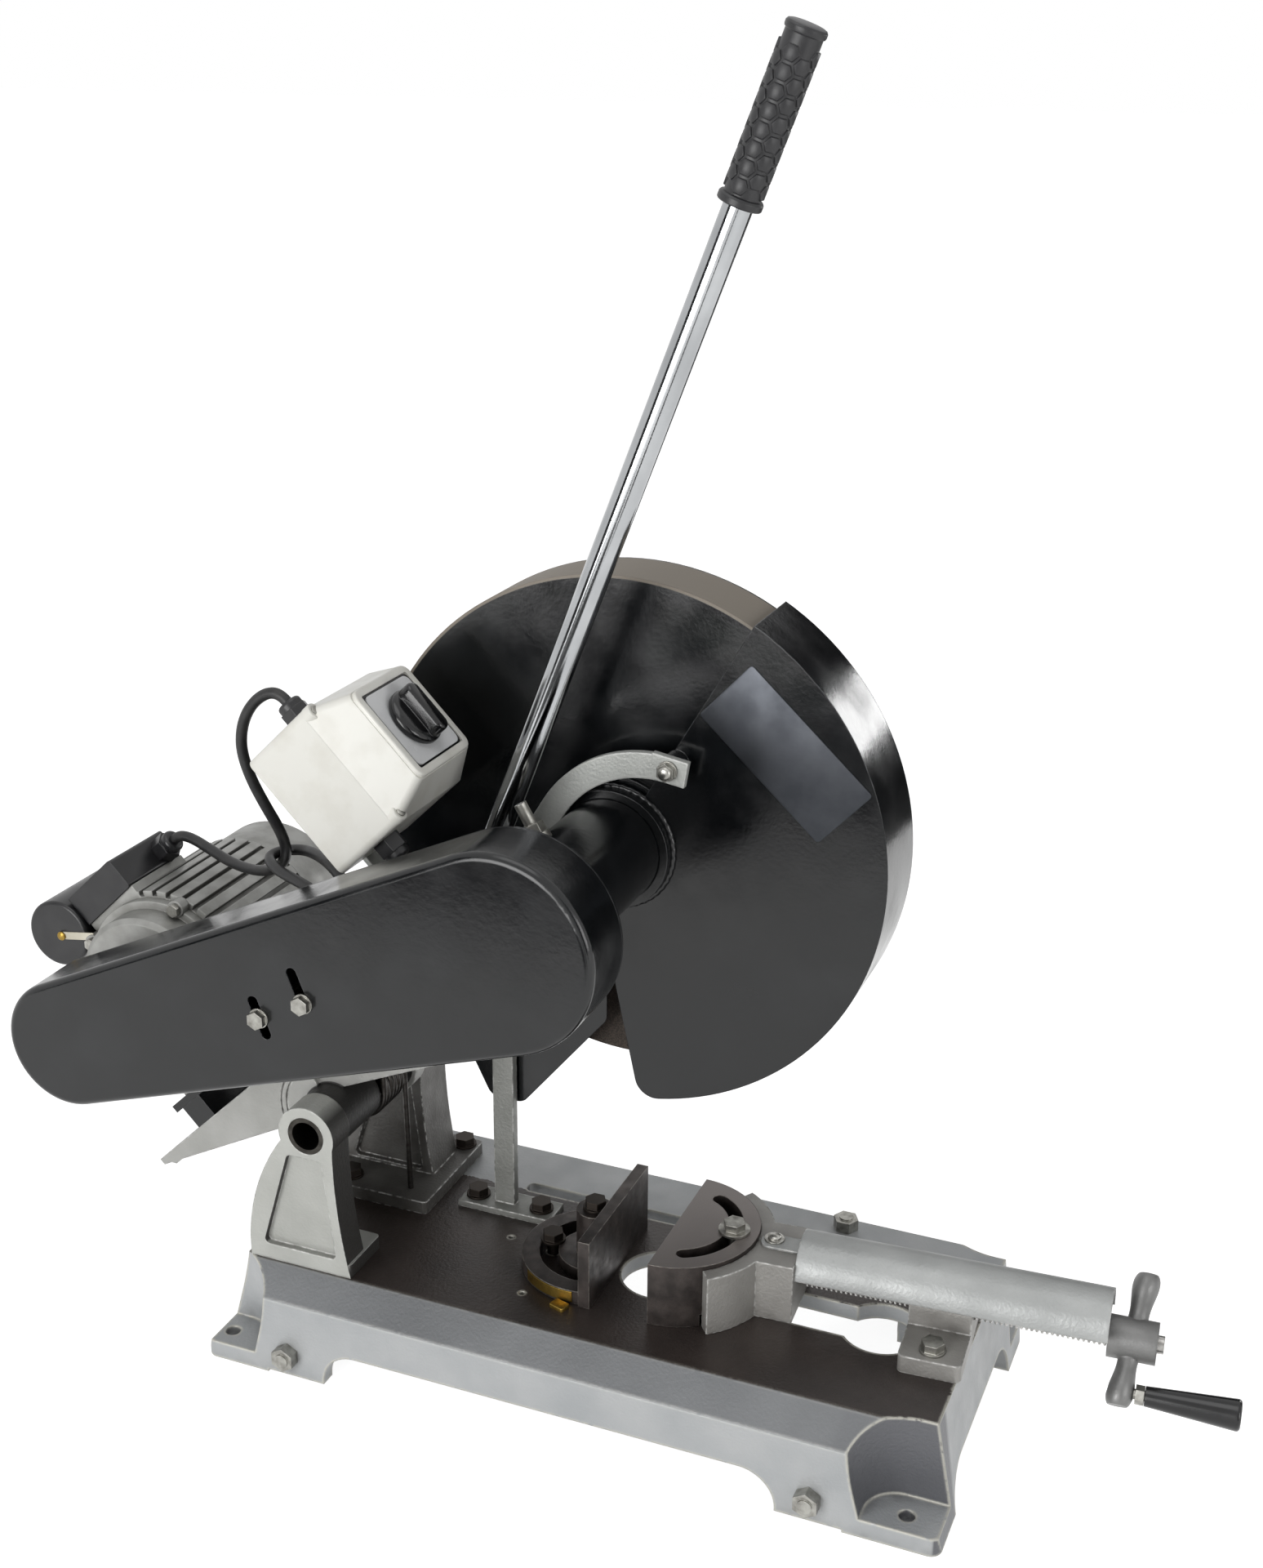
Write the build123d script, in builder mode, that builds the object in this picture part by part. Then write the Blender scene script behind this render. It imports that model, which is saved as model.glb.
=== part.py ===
"""Belt-driven abrasive cut-off machine on a cast bed, with a screw vise and a long hand lever.

Millimetres, +Z up. X runs along the bed towards the vise crank, Y away from the belt side.
The origin is the middle of the four foot holes, on the floor.
"""
import os
from math import acos, atan2, cos, degrees, hypot, pi, radians, sin, tan

from build123d import *

os.makedirs("parts", exist_ok=True)

# Fits between pieces
gap = 0.3  # air between pieces that pass each other
fit = 0.05  # radial clearance of a shaft in its bore
bolt_fit = 0.4  # radial clearance of a bolt in a plain hole
sheet = 2.0  # steel sheet of the guards and covers

# Cast bed
bed_length = 641.5
bed_shift = 7.25  # the bed's middle from the middle of its foot holes
bed_left_slope = 32.0
bed_right_slope = 14.0
bed_width = 296.0
bed_flat = 248.0
bed_height = 95.0
bed_side = 73.0
bed_round = 4.0
bed_corner = 10.0
bed_skin = 14.0
bed_wall = 14.0
foot_pitch_x = 595.0
foot_pitch_y = 259.0
foot_hole = 13.0
foot_pad = 16.0
pad_reach = 45.5  # each pad runs this far from its hole towards the middle
pad_step = 2.5
scoop_low_x = 33.0  # inner edges of a corner scoop from its hole, at the pad and at the top
scoop_low_y = 22.5
scoop_low_round = 28.0
scoop_top_x = 53.5
scoop_top_y = 13.5
scoop_top_round = 62.0
arch_height = 35.0
arch_round = 30.0
side_arch = 396.0
end_arch = 190.0
side_stud_left = -232.0
side_stud_right = 225.0
side_stud_z = 23.0
stop_stud = (175.0, 110.0)
spare_holes = ((-86.0, -16.0), (-43.0, -86.0))
spare_hole_r = 2.5
stud_short = 1.0
stud_proud = 1.5
bolt_short = 2.0

# Wheel slot and vise opening in the bed
wheel_y = 63.0
slot_start = -107.0
slot_end = 172.0
slot_width = 13.0
slot_round = 6.0
opening_left = 53.0
opening_right = 243.0
opening_y = -18.0
opening_end_r = 33.0
opening_channel = 42.0

# Pivot of the head and its pedestals
pivot_x = -218.0
pivot_z = 222.0
pivot_tube_r = 16.5
pivot_tube_bore = 12.5
boss_r = 25.5
boss_proud = 2.0
pedestal_near_y = -123.4
pedestal_t = 27.0
far_pedestal_y = 30.0
far_pedestal_t = 46.0
pedestal_back = 59.5
pedestal_front = 36.0
pedestal_recess = 5.5
pedestal_rim = 13.0
panel_sill = 15.0
foot_t = 12.0
near_foot_reach = 24.4
far_foot_reach = 44.0
far_foot_back = 24.0
near_bolt_in = 18.0  # the near bolts from the pedestal's near face, and right of the pivot
near_bolt_left = 4.0
near_bolt_right = 27.0
far_bolt_in = 26.0  # the front bolt of the far foot from its back edge, and out of the casting
far_bolt_out = 28.0
bolt_inset = 18.0
bolt_edge = 13.0

# Head: spindle and motor axes, both along Y
spindle_x = -8.7
spindle_z = 456.3
motor_x = -388.0
motor_z = 307.0

# Rocker arm
cheek_t = 12.0
arm_width = 39.0
arm_half = 38.0
arm_step = 5.0  # the forward arm stands back from the near cheek's face
arm_knee = 127.0
arm_root_deg = 70.0
hub_r = 46.0
hub_tube_r = 24.5
hub_reach = 15.0
cheek_top_deg = 120.0
hub_groove_rs = (49.0, 44.0)
hub_groove_w = 1.6
hub_groove_depth = 1.2
far_hub_r = 30.0
far_hub_length = 16.0
bush_wall = 4.0
seat_angle = 43.9
seat_web = 12.0
cheek_tail = 124.0
cheek_front = 52.0

# Torsion spring on the pivot tube
spring_wire = 5.0
spring_turns = 6.0
spring_pitch = 6.0
spring_clear = 6.0
spring_arm_leg = 46.0
spring_peg_up = 39.0
spring_peg_r = 4.0

# Spindle
housing_r = 43.0
housing_bore = 31.0
housing_near_y = -146.0
bearing_w = 16.0
spindle_r = 15.0
spindle_seat_r = 15.9
spindle_thread_r = 12.0
pulley_seat_r = 14.0
wheel_r = 202.5
wheel_t = 3.2
wheel_bore_r = 16.0
flange_r = 62.0
flange_t = 11.0
nut_h = 11.0
nut_flats = 36.0
shoulder_r = 20.0
bearing_inset = 6.0
lock_deg = 120.0
lock_y = -72.0
lock_boss_h = 10.0
lock_length = 36.0
back_screw_depth = 12.0
back_screw_degs = (30.0, 150.0, 270.0)
nose_bore = 24.0

# Guards
guard_r = 219.4
guard_near_y = 32.3
guard_depth = 57.7
guard_front_deg = 20.0
guard_tail_deg = 206.4
guard_tail_z = 199.0
guard_tail_width = 30.0
guard_edge_x = -18.0
guard_edge_z = 294.0
guard_hub_r = 66.0
guard_nose_r = 58.0
guard_nose_t = 5.3
guard_tail_round = 12.0
guard_lug = 13.0
guard_lug_degs = (45.0, 115.0, 190.0)
swing_r = 225.0
swing_near_y = 24.0
swing_depth = 75.0
swing_top_deg = 60.0
swing_low_deg = -84.0
swing_lip = 30.0
swing_corner = 18.0
swing_edge_back = 14.0
swing_ring_r = 50.0
swing_ring_t = 11.0

# Guard link and its post
lug_r = 93.4
lug_deg = 56.0
link_t = 6.0
link_width = 21.0
link_near_y = 5.0
link_bend_x = 36.7
link_bend_z = -15.3
link_eye_r = 10.0
link_end = 15.0
post_x = -110.0
post_top_z = 395.0
post_width = 19.0
post_t = 8.0
post_near_y = 21.8
strip_length = 88.0
strip_width = 30.0
strip_t = 6.0
strip_shift = 4.0
strip_bolt_left = 12.6
strip_bolt_right = 14.4
post_spacer_r = 8.0

# Belt drive and its cover
cover_face_y = -202.0
cover_depth = 54.0
cover_big_r = 78.0
cover_small_r = 53.0
cover_round = 6.0
back_plate_bore = 21.0
spindle_pulley_r = 52.0
motor_pulley_r = 42.0
pulley_width = 34.0
pulley_y = -192.0
groove_depth = 9.0
groove_width = 9.8
groove_pitch = 15.0
belt_t = 8.0
cover_slot = (36.0, 8.8)
cover_slot_places = ((196.0, -9.0), (239.5, 6.0))
cover_bolt_drop = (0.0, -11.0)

# Motor
motor_fin_r = 76.0
rib_depth = 5.0
rib_gap = 4.5
motor_ribs = 34
motor_near_y = -58.0
motor_length = 128.0
motor_height = 90.0
motor_plate_t = 7.0
motor_plate_half = 96.0
rail_h = 22.0
rail_w = 24.0
rail_spread = 52.0
foot_spread = 70.0
bell_r = 70.0
bell_face_r = 63.0
bell_depth = 33.0
bell_wall = 6.0
bell_chamfer = 4.0
bell_lug_deg = 73.4
bell_lug_at = 70.5
bell_lug_r = 7.5
bell_lug_t = 10.0
fan_cover_depth = 56.0
motor_shaft_r = 12.0
foot_near_y = -45.0
foot_length = 100.0
motor_foot_t = 12.0
stator_r = 58.0
stator_inset = 18.0
rotor_r = 44.0
rotor_air = 0.6
fan_r = 60.0
fan_length = 18.0
rear_bell_depth = 24.0
terminal_size = (64.0, 75.0, 28.6)
terminal_near_y = -60.0
terminal_gland_y = 0.0
terminal_gland_up = 11.4
terminal_round = 3.0
capacitor_r = 30.0
capacitor_length = 95.0
capacitor_reach = 108.0
capacitor_deg = 169.0
capacitor_near_y = -65.0
capacitor_round = 3.0

# Hand lever
lever_y = -35.0
lever_deg = 21.2
lever_x = -77.4
lever_z = 491.4
lever_r = 10.65
lever_bore = 8.0
lever_start = -92.0
lever_end = 612.0
socket_r = 17.0
socket_start = -118.0
socket_end = -50.0
grip_r = 13.2
grip_length = 121.0
grip_overhang = 9.0
grip_collar_r = 16.0
grip_collar_t = 6.0
grip_cap_r = 14.6
grip_round = 2.0

# Switch box
switch_x = -166.0
switch_y = -63.0
switch_z = 546.0
switch_deg = 44.5
switch_round = 6.0
switch_side = 112.0
switch_depth = 68.0
switch_wall = 3.5
lid_rise = 34.0
lid_face = 84.0
bezel = 66.0
bezel_t = 3.0
knob_r = 24.0
knob_h = 20.0
knob_base = 8.0
knob_fin = (45.0, 14.0)
bracket_t = 4.0
bracket_width = 26.0
bracket_reach = 190.0
bracket_y = -67.5
knob_shaft_r = 4.0
top_gland_y = -75.0
low_gland_y = -92.0
gland_r = 12.3
gland_hex = 12.0
gland_dome_r = 10.0
gland_dome = 7.0
gland_round = 3.0
cable_r = 4.6
lead_straight = 7.0
bend_share = 0.45
coil_centre = (-372.0, 212.0)
coil_mean_r = 50.0
plug_r = 14.0
plug_shift = 24.0
plug_out = 8.0
plug_neck = 18.0
plug_length = 34.0
plug_pin = 19.0
plug_pin_r = 2.4
plug_pin_pitch = 19.0

# Vise
vise_yaw = 3.5
jaw_x = 67.0
jaw_y = -17.0
jaw_r = 68.0
jaw_top_z = 151.0
jaw_slot_r = 48.0
jaw_slot_deg = 64.0
jaw_slot_half = 6.0
jaw_swing = 45.0
jaw_relief_r = 22.0
tongue_t = 10.0
tongue_r = 34.0
tongue_deg = 11.0
tongue_play = 1.5
carrier_ring = 12.0
carrier_deg = 56.0
carrier_length = 25.0
carrier_half = 30.0
carrier_top_z = 147.0
screw_z = 123.0
screw_r = 9.0
screw_root = 1.6
screw_lead = 4.0
screw_journal_r = 7.0
screw_collar_r = 12.0
screw_collar_t = 6.0
screw_end = 5.0
thread_inset = 4.0
thread_crest = 0.85
cover_z = 133.5
cover_r = 27.5
cover_wall = 2.0
cover_end = 351.0
cover_tab = 25.0
cover_tab_width = 19.0
bracket_x = 289.0
bracket_length = 50.0
bracket_span = 124.0
bracket_base_t = 15.0
bracket_boss_r = 19.0
bracket_round = 5.0
bracket_bolt_in = 15.0
crank_at = 368.5
crank_hub_r = 16.5
crank_hub_length = 37.0
crank_arm = 40.0
crank_lean = 42.0
crank_tilt = 6.0
ferrule_at = 7.0
ferrule_r = 7.5
ferrule_length = 6.8
crank_grip_length = 71.0
crank_grip_small = 7.7
crank_grip_large = 12.3
crank_pin_r = 4.0
crank_pin_root = 20.0
crank_pin_short = 4.0
crank_grip_round = 3.0

# Fence
fence_x = -4.5
fence_y = -22.0
fence_face = 21.5
fence_t = 10.0
fence_half = 64.0
fence_top_z = 157.0
fence_ring_r = 62.0
fence_ring_w = 15.0
fence_ring_t = 12.0
fence_hub_r = 31.0
fence_boss_r = 16.0
fence_boss_z = 148.0
fence_clamp_r = 39.0

# Sections of a crank arm: distance from the screw's axis, half length along it and half width across it
crank_sections = (
    (8.0, 9.0, 10.0),
    (22.0, 7.8, 9.0),
    (36.0, 9.8, 13.2),
    (44.0, 10.2, 13.4),
    (51.0, 7.6, 10.0),
)

# Fasteners: thread, width across flats, head height, washer radius and thickness
M8 = (8.0, 13.0, 5.3, 8.0, 1.6)
M10 = (10.0, 16.0, 6.4, 10.5, 2.0)
M6 = (6.0, 10.0, 4.0, 6.0, 1.2)
M10_wide = (10.0, 16.0, 6.4, 13.0, 2.5)
M6_small = (6.0, 10.0, 4.0, 5.0, 1.0)
stud_thread = 12.0
stud_flats = 19.0
stud_nut = 10.0

# Places worked out from the sizes above
guard_far_y = guard_near_y + guard_depth
swing_far_y = swing_near_y + swing_depth
cover_back_y = cover_face_y + cover_depth
pedestal_far_y = pedestal_near_y + pedestal_t
far_pedestal_far_y = far_pedestal_y + far_pedestal_t
hub_near_y = pedestal_far_y + gap
cheek_near_y = hub_near_y + hub_reach
cheek_far_y = far_pedestal_y - boss_proud - gap
arm_far_y = cheek_near_y + arm_width
arm_deg = degrees(atan2(spindle_z - pivot_z, spindle_x - pivot_x))
arm_length = hypot(spindle_x - pivot_x, spindle_z - pivot_z)
housing_far_y = guard_near_y
link_far_y = link_near_y + link_t
wheel_near_y = wheel_y - wheel_t / 2
wheel_far_y = wheel_y + wheel_t / 2
motor_far_y = motor_near_y + motor_length
motor_core_r = motor_fin_r - rib_depth
gland_length = gland_hex + gland_dome
lug = (
    spindle_x + lug_r * cos(radians(lug_deg)),
    spindle_z + lug_r * sin(radians(lug_deg)),
)
post_pin = (post_x, post_top_z)
pivot = (pivot_x, pivot_z)
spindle = (spindle_x, spindle_z)
motor = (motor_x, motor_z)


def facing(y):
    """Plane across the pivot and spindle axes at y, with its normal towards the belt side."""
    return Plane.XZ.offset(-y)


def polar(centre, radius, angle):
    """Point at a radius and an angle in degrees about a centre."""
    return (
        centre[0] + radius * cos(radians(angle)),
        centre[1] + radius * sin(radians(angle)),
    )


def along(start, angle, forward, left):
    """Point reached from a start by going forward along an angle, then to its left."""
    return (
        start[0] + forward * cos(radians(angle)) - left * sin(radians(angle)),
        start[1] + forward * sin(radians(angle)) + left * cos(radians(angle)),
    )


def ring(y_far, length, centre, outer, inner):
    """Plain ring along Y."""
    with BuildPart() as body:
        with BuildSketch(facing(y_far)):
            with Locations(centre):
                Circle(outer)
                Circle(inner, mode=Mode.SUBTRACT)
        extrude(amount=length)
    return body.part


def two_circle_face(plane, big, big_r, small, small_r):
    """Face bounded by two circles and their outer tangents."""
    heading = atan2(small[1] - big[1], small[0] - big[0])
    lean = acos((big_r - small_r) / hypot(small[0] - big[0], small[1] - big[1]))
    left, right = degrees(heading + lean), degrees(heading - lean)
    with BuildSketch(plane) as outline:
        with BuildLine():
            big_arc = ThreePointArc(
                polar(big, big_r, left),
                polar(big, big_r, degrees(heading + pi)),
                polar(big, big_r, right),
            )
            small_arc = ThreePointArc(
                polar(small, small_r, right),
                polar(small, small_r, degrees(heading)),
                polar(small, small_r, left),
            )
            Line(big_arc @ 1, small_arc @ 0)
            Line(small_arc @ 1, big_arc @ 0)
        make_face()
    return outline.sketch


def hex_bolts(size, seats):
    """Hex bolts with washers, each given as its seat plane and the length below the seat."""
    thread, flats, head, washer_r, washer_t = size
    with BuildPart() as bolts:
        for seat, length in seats:
            with BuildSketch(seat):
                Circle(washer_r)
            extrude(amount=washer_t)
            with BuildSketch(seat.offset(washer_t)):
                RegularPolygon(flats / 2, 6, major_radius=False)
            extrude(amount=head)
            with BuildSketch(seat):
                Circle(thread / 2)
            extrude(amount=-length)
    return bolts.part


def upright(x, y, z):
    """Level plane at a point."""
    return Plane(origin=(x, y, z), z_dir=(0, 0, 1))


def save(part, name):
    """Label a finished piece and write it."""
    part.label = name
    export_step(part, f"parts/{name}.step")


# Where the M10 bolts of the bed stand: foot, then height of the seat above the bed
near_bolt_spots = [
    (pivot_x + right, pedestal_near_y + near_bolt_in) for right in (near_bolt_left, near_bolt_right)
]
far_foot_front = pivot_x + pedestal_front + bolt_edge
far_bolt_spots = [
    (pivot_x - pedestal_back + far_bolt_in, far_pedestal_y - far_bolt_out),
    (far_foot_front - bolt_edge, far_pedestal_far_y + far_foot_back / 2),
]
strip_y = post_near_y + post_t / 2
strip_mid_x = post_x + strip_shift
strip_bolt_xs = (
    strip_mid_x - strip_length / 2 + strip_bolt_left,
    strip_mid_x + strip_length / 2 - strip_bolt_right,
)
vise_along = Plane(
    origin=(jaw_x, jaw_y, 0), x_dir=(cos(radians(vise_yaw)), sin(radians(vise_yaw)), 0), z_dir=(0, 0, 1)
)
bracket_bolt_spots = [
    along((jaw_x, jaw_y), vise_yaw, bracket_x - jaw_x, side * (bracket_span / 2 - bracket_bolt_in))
    for side in (-1, 1)
]
fence_clamp = (fence_x - fence_clamp_r, fence_y)
bed_bolt_spots = (
    [(x, y, foot_t) for x, y in far_bolt_spots]
    + [(x, strip_y, strip_t) for x in strip_bolt_xs]
    + [(x, y, bracket_base_t) for x, y in bracket_bolt_spots]
    + [(fence_x, fence_y, fence_boss_z - bed_height + gap)]
    + [(*fence_clamp, fence_ring_t + 2 * gap)]
)

# Cast bed: a hollow box with sloped shoulders and ends, arched underside and scooped corners
bed_left = bed_shift - bed_length / 2
bed_right = bed_shift + bed_length / 2
hollow_left = bed_left + bed_left_slope + bed_wall
hollow_right = bed_right - bed_right_slope - bed_wall
scoop_span = 3 * scoop_top_round
with BuildPart() as bed:
    with BuildSketch(Plane.YZ):
        with BuildLine():
            Polyline(
                (-bed_width / 2, 0),
                (-bed_width / 2, bed_side),
                (-bed_flat / 2, bed_height),
                (bed_flat / 2, bed_height),
                (bed_width / 2, bed_side),
                (bed_width / 2, 0),
                close=True,
            )
        make_face()
    extrude(amount=bed_length, both=True)
    with BuildSketch(Plane.XZ):
        with BuildLine():
            Polyline(
                (bed_left, 0),
                (bed_right, 0),
                (bed_right - bed_right_slope, bed_height),
                (bed_left + bed_left_slope, bed_height),
                close=True,
            )
        make_face()
    extrude(amount=bed_width, both=True, mode=Mode.INTERSECT)
    long_edges = bed.edges().filter_by(Axis.X)
    fillet(long_edges.filter_by_position(Axis.Z, bed_side - bed_round, bed_height + bed_round), bed_round)
    with BuildSketch():
        with Locations((bed_shift, 0)):
            RectangleRounded(bed_length, bed_width, bed_corner)
    extrude(amount=bed_height, mode=Mode.INTERSECT)
    for half_width, roof in (
        (bed_width / 2 - bed_wall, bed_side - bed_wall),
        (bed_flat / 2 - bed_wall / 2, bed_height - bed_skin),
    ):
        with BuildSketch():
            with Locations(((hollow_left + hollow_right) / 2, 0)):
                Rectangle(hollow_right - hollow_left, 2 * half_width)
            with GridLocations(foot_pitch_x, foot_pitch_y, 2, 2):
                Rectangle(
                    2 * (scoop_top_x + bed_wall), 2 * (scoop_low_y + bed_wall), mode=Mode.SUBTRACT
                )
        extrude(amount=roof, mode=Mode.SUBTRACT)
    with BuildSketch(Plane.XZ):
        RectangleRounded(side_arch, 2 * arch_height, arch_round)
        Rectangle(foot_pitch_x - 2 * pad_reach, 2 * pad_step)
    extrude(amount=bed_width, both=True, mode=Mode.SUBTRACT)
    with BuildSketch(Plane.YZ):
        RectangleRounded(end_arch, 2 * arch_height, arch_round)
    extrude(amount=bed_length, both=True, mode=Mode.SUBTRACT)
    for side_x in (-1, 1):
        for side_y in (-1, 1):
            for level, reach_x, reach_y, scoop_round in (
                (foot_pad, scoop_low_x, scoop_low_y, scoop_low_round),
                (bed_height, scoop_top_x, scoop_top_y, scoop_top_round),
            ):
                scoop_x = side_x * (foot_pitch_x / 2 - reach_x + scoop_span / 2)
                scoop_y = side_y * (foot_pitch_y / 2 - reach_y + scoop_span / 2)
                with BuildSketch(upright(scoop_x, scoop_y, level)):
                    RectangleRounded(scoop_span, scoop_span, scoop_round)
            loft(mode=Mode.SUBTRACT)
    with BuildSketch():
        with GridLocations(foot_pitch_x, foot_pitch_y, 2, 2):
            Circle(foot_hole / 2)
        with Locations(((slot_start + slot_end) / 2, wheel_y)):
            RectangleRounded(slot_end - slot_start, slot_width, slot_round)
        with Locations((opening_left, opening_y), (opening_right, opening_y)):
            Circle(opening_end_r)
        with Locations(((opening_left + opening_right) / 2, opening_y)):
            Rectangle(opening_right - opening_left, opening_channel)
        with Locations([spot[:2] for spot in bed_bolt_spots] + near_bolt_spots):
            Circle(M10[0] / 2 + fit)
        with Locations(stop_stud):
            Circle(stud_thread / 2 + fit)
        with Locations(*spare_holes):
            Circle(spare_hole_r)
    extrude(amount=bed_height, mode=Mode.SUBTRACT)
    with BuildSketch(Plane.XZ.offset(bed_width / 2)):
        with Locations((side_stud_left, side_stud_z), (side_stud_right, side_stud_z)):
            Circle(stud_thread / 2 + fit)
    extrude(amount=-bed_wall, mode=Mode.SUBTRACT)
save(bed.part, "bed_casting")


def pedestal(near, far, proud, foot_near, foot_far, foot_front, bolt_spots, bolt_depth):
    """Cast pedestal with recessed panels, a pivot boss and a bolted foot."""
    foot_z = bed_height
    neck_z = pivot_z - boss_r / 3
    back, front = pivot_x - pedestal_back, pivot_x + pedestal_front
    shoulder = neck_z - foot_z
    with BuildPart() as casting:
        with BuildSketch(facing(far)):
            with BuildLine():
                flank = ThreePointArc(
                    (back, foot_z + 0.15 * shoulder),
                    (pivot_x - 0.79 * pedestal_back, foot_z + 0.64 * shoulder),
                    (pivot_x - 0.94 * boss_r, neck_z),
                )
                toe = ThreePointArc(
                    (pivot_x + 0.94 * boss_r, neck_z),
                    (pivot_x + 0.72 * pedestal_front, foot_z + 0.55 * shoulder),
                    (front, foot_z),
                )
                Line(flank @ 1, toe @ 0)
                Polyline(toe @ 1, (back, foot_z), flank @ 0)
            make_face()
        extrude(amount=far - near)
        with BuildSketch(facing(far + proud)):
            with Locations(pivot):
                Circle(boss_r)
        extrude(amount=far - near + 2 * proud)
        for panel_far in (near + pedestal_recess, far):
            with BuildSketch(facing(panel_far)):
                with BuildLine():
                    FilletPolyline(
                        (back + pedestal_rim, foot_z + panel_sill),
                        (front - pedestal_rim, foot_z + panel_sill),
                        (pivot_x + boss_r - pedestal_rim, neck_z - pedestal_rim),
                        (pivot_x - boss_r + pedestal_rim / 2, neck_z - pedestal_rim),
                        radius=pedestal_rim / 3,
                        close=True,
                    )
                make_face()
            extrude(amount=pedestal_recess, mode=Mode.SUBTRACT)
        with BuildSketch(upright(0, 0, foot_z)):
            with Locations(((back + foot_front) / 2, (foot_near + foot_far) / 2)):
                RectangleRounded(foot_front - back, foot_far - foot_near, pedestal_rim / 3)
        extrude(amount=foot_t)
        with BuildSketch(facing(far + proud)):
            with Locations(pivot):
                Circle(pivot_tube_r + fit)
        extrude(amount=far - near + 2 * proud, mode=Mode.SUBTRACT)
        with BuildSketch(upright(0, 0, foot_z)):
            with Locations(bolt_spots):
                Circle(M10[0] / 2 + fit)
        extrude(amount=bolt_depth, mode=Mode.SUBTRACT)
    return casting.part


save(
    pedestal(
        pedestal_near_y,
        pedestal_far_y,
        0,
        pedestal_near_y,
        pedestal_far_y + near_foot_reach,
        pivot_x + pedestal_front,
        near_bolt_spots,
        panel_sill,
    ),
    "near_pedestal",
)
save(
    pedestal(
        far_pedestal_y,
        far_pedestal_far_y,
        boss_proud,
        far_pedestal_y - far_foot_reach,
        far_pedestal_far_y + far_foot_back,
        far_foot_front,
        far_bolt_spots,
        foot_t,
    ),
    "far_pedestal",
)

# Hollow pivot tube, held in both pedestals
pivot_far_y = far_pedestal_far_y + boss_proud
save(ring(pivot_far_y, pivot_far_y - pedestal_near_y, pivot, pivot_tube_r, pivot_tube_bore), "pivot_tube")

# M10 bolts that hold the pedestals, the post strip, the screw bracket and the fence, and the link pin
bed_bolt_depth = bed_skin - bolt_short
link_pin_y = link_near_y - gap
save(
    hex_bolts(
        M10,
        [(upright(x, y, bed_height + rise), rise + bed_bolt_depth) for x, y, rise in bed_bolt_spots]
        + [
            (
                Plane(origin=(x, y, bed_height - bed_skin), z_dir=(0, 0, -1)),
                bed_skin + panel_sill - bolt_short,
            )
            for x, y in near_bolt_spots
        ]
        + [
            (
                Plane(origin=(post_x, link_pin_y, post_top_z), z_dir=(0, -1, 0)),
                post_near_y + post_t - link_pin_y,
            )
        ],
    ),
    "bed_bolts",
)

# Studs with nuts: two in the side of the bed, one on its far strip
stud_seats = [
    (Plane(origin=(x, -bed_width / 2, side_stud_z), z_dir=(0, -1, 0)), bed_wall - stud_short)
    for x in (side_stud_left, side_stud_right)
] + [(upright(*stop_stud, bed_height), bed_skin - stud_short)]
with BuildPart() as bed_studs:
    for stud_seat, stud_depth in stud_seats:
        with BuildSketch(stud_seat):
            RegularPolygon(stud_flats / 2, 6, major_radius=False)
        extrude(amount=stud_nut)
        with BuildSketch(stud_seat.offset(-stud_depth)):
            Circle(stud_thread / 2)
        extrude(amount=stud_depth + stud_nut + stud_proud)
save(bed_studs.part, "bed_studs")

# Post of the guard link, welded on a bolted strip
with BuildPart() as post:
    with BuildSketch(upright(0, 0, bed_height)):
        with Locations((post_x + strip_shift, strip_y)):
            Rectangle(strip_length, strip_width)
        with Locations([(x, strip_y) for x in strip_bolt_xs]):
            Circle(M10[0] / 2 + bolt_fit, mode=Mode.SUBTRACT)
    extrude(amount=strip_t)
    with BuildSketch(facing(post_near_y + post_t)):
        with BuildLine():
            crown = ThreePointArc(
                (post_x + post_width / 2, post_top_z),
                (post_x, post_top_z + post_width / 2),
                (post_x - post_width / 2, post_top_z),
            )
            foot_level = bed_height + strip_t
            Polyline(
                crown @ 1,
                (post_x - post_width / 2, foot_level),
                (post_x + post_width / 2, foot_level),
                crown @ 0,
            )
        make_face()
        with Locations(post_pin):
            Circle(M10[0] / 2 + fit, mode=Mode.SUBTRACT)
    extrude(amount=post_t)
    with BuildSketch(facing(post_near_y)):
        with Locations(post_pin):
            Circle(post_spacer_r)
            Circle(M10[0] / 2 + fit, mode=Mode.SUBTRACT)
    extrude(amount=post_near_y - link_far_y - gap)
save(post.part, "link_post")

# Torsion spring round the pivot tube: one leg stands on the far pedestal's foot, one lifts a peg of the arm
spring_mean_r = pivot_tube_r + spring_clear + spring_wire / 2
spring_near_y = arm_far_y + spring_wire
spring_far_y = spring_near_y + spring_turns * spring_pitch
spring_leg_x = pivot_x + spring_mean_r
with BuildPart() as spring:
    with BuildLine() as coil_path:
        winding = Helix(
            spring_pitch,
            spring_far_y - spring_near_y,
            spring_mean_r,
            center=(pivot_x, spring_near_y, pivot_z),
            direction=(0, 1, 0),
            mode=Mode.PRIVATE,
        )
        add(winding.rotate(Axis((pivot_x, 0, pivot_z), (0, 1, 0)), 90))
    with BuildSketch(Plane(origin=coil_path.line @ 0, z_dir=coil_path.line % 0)):
        Circle(spring_wire / 2)
    sweep()
    spring_seat_z = bed_height + foot_t + gap
    for end, outward, reach in ((0, -1, spring_arm_leg), (1, 1, pivot_z - spring_seat_z)):
        with BuildSketch(Plane(origin=coil_path.line @ end, z_dir=(coil_path.line % end) * outward)):
            Circle(spring_wire / 2)
        extrude(amount=reach)
save(spring.part, "torsion_spring")

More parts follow.
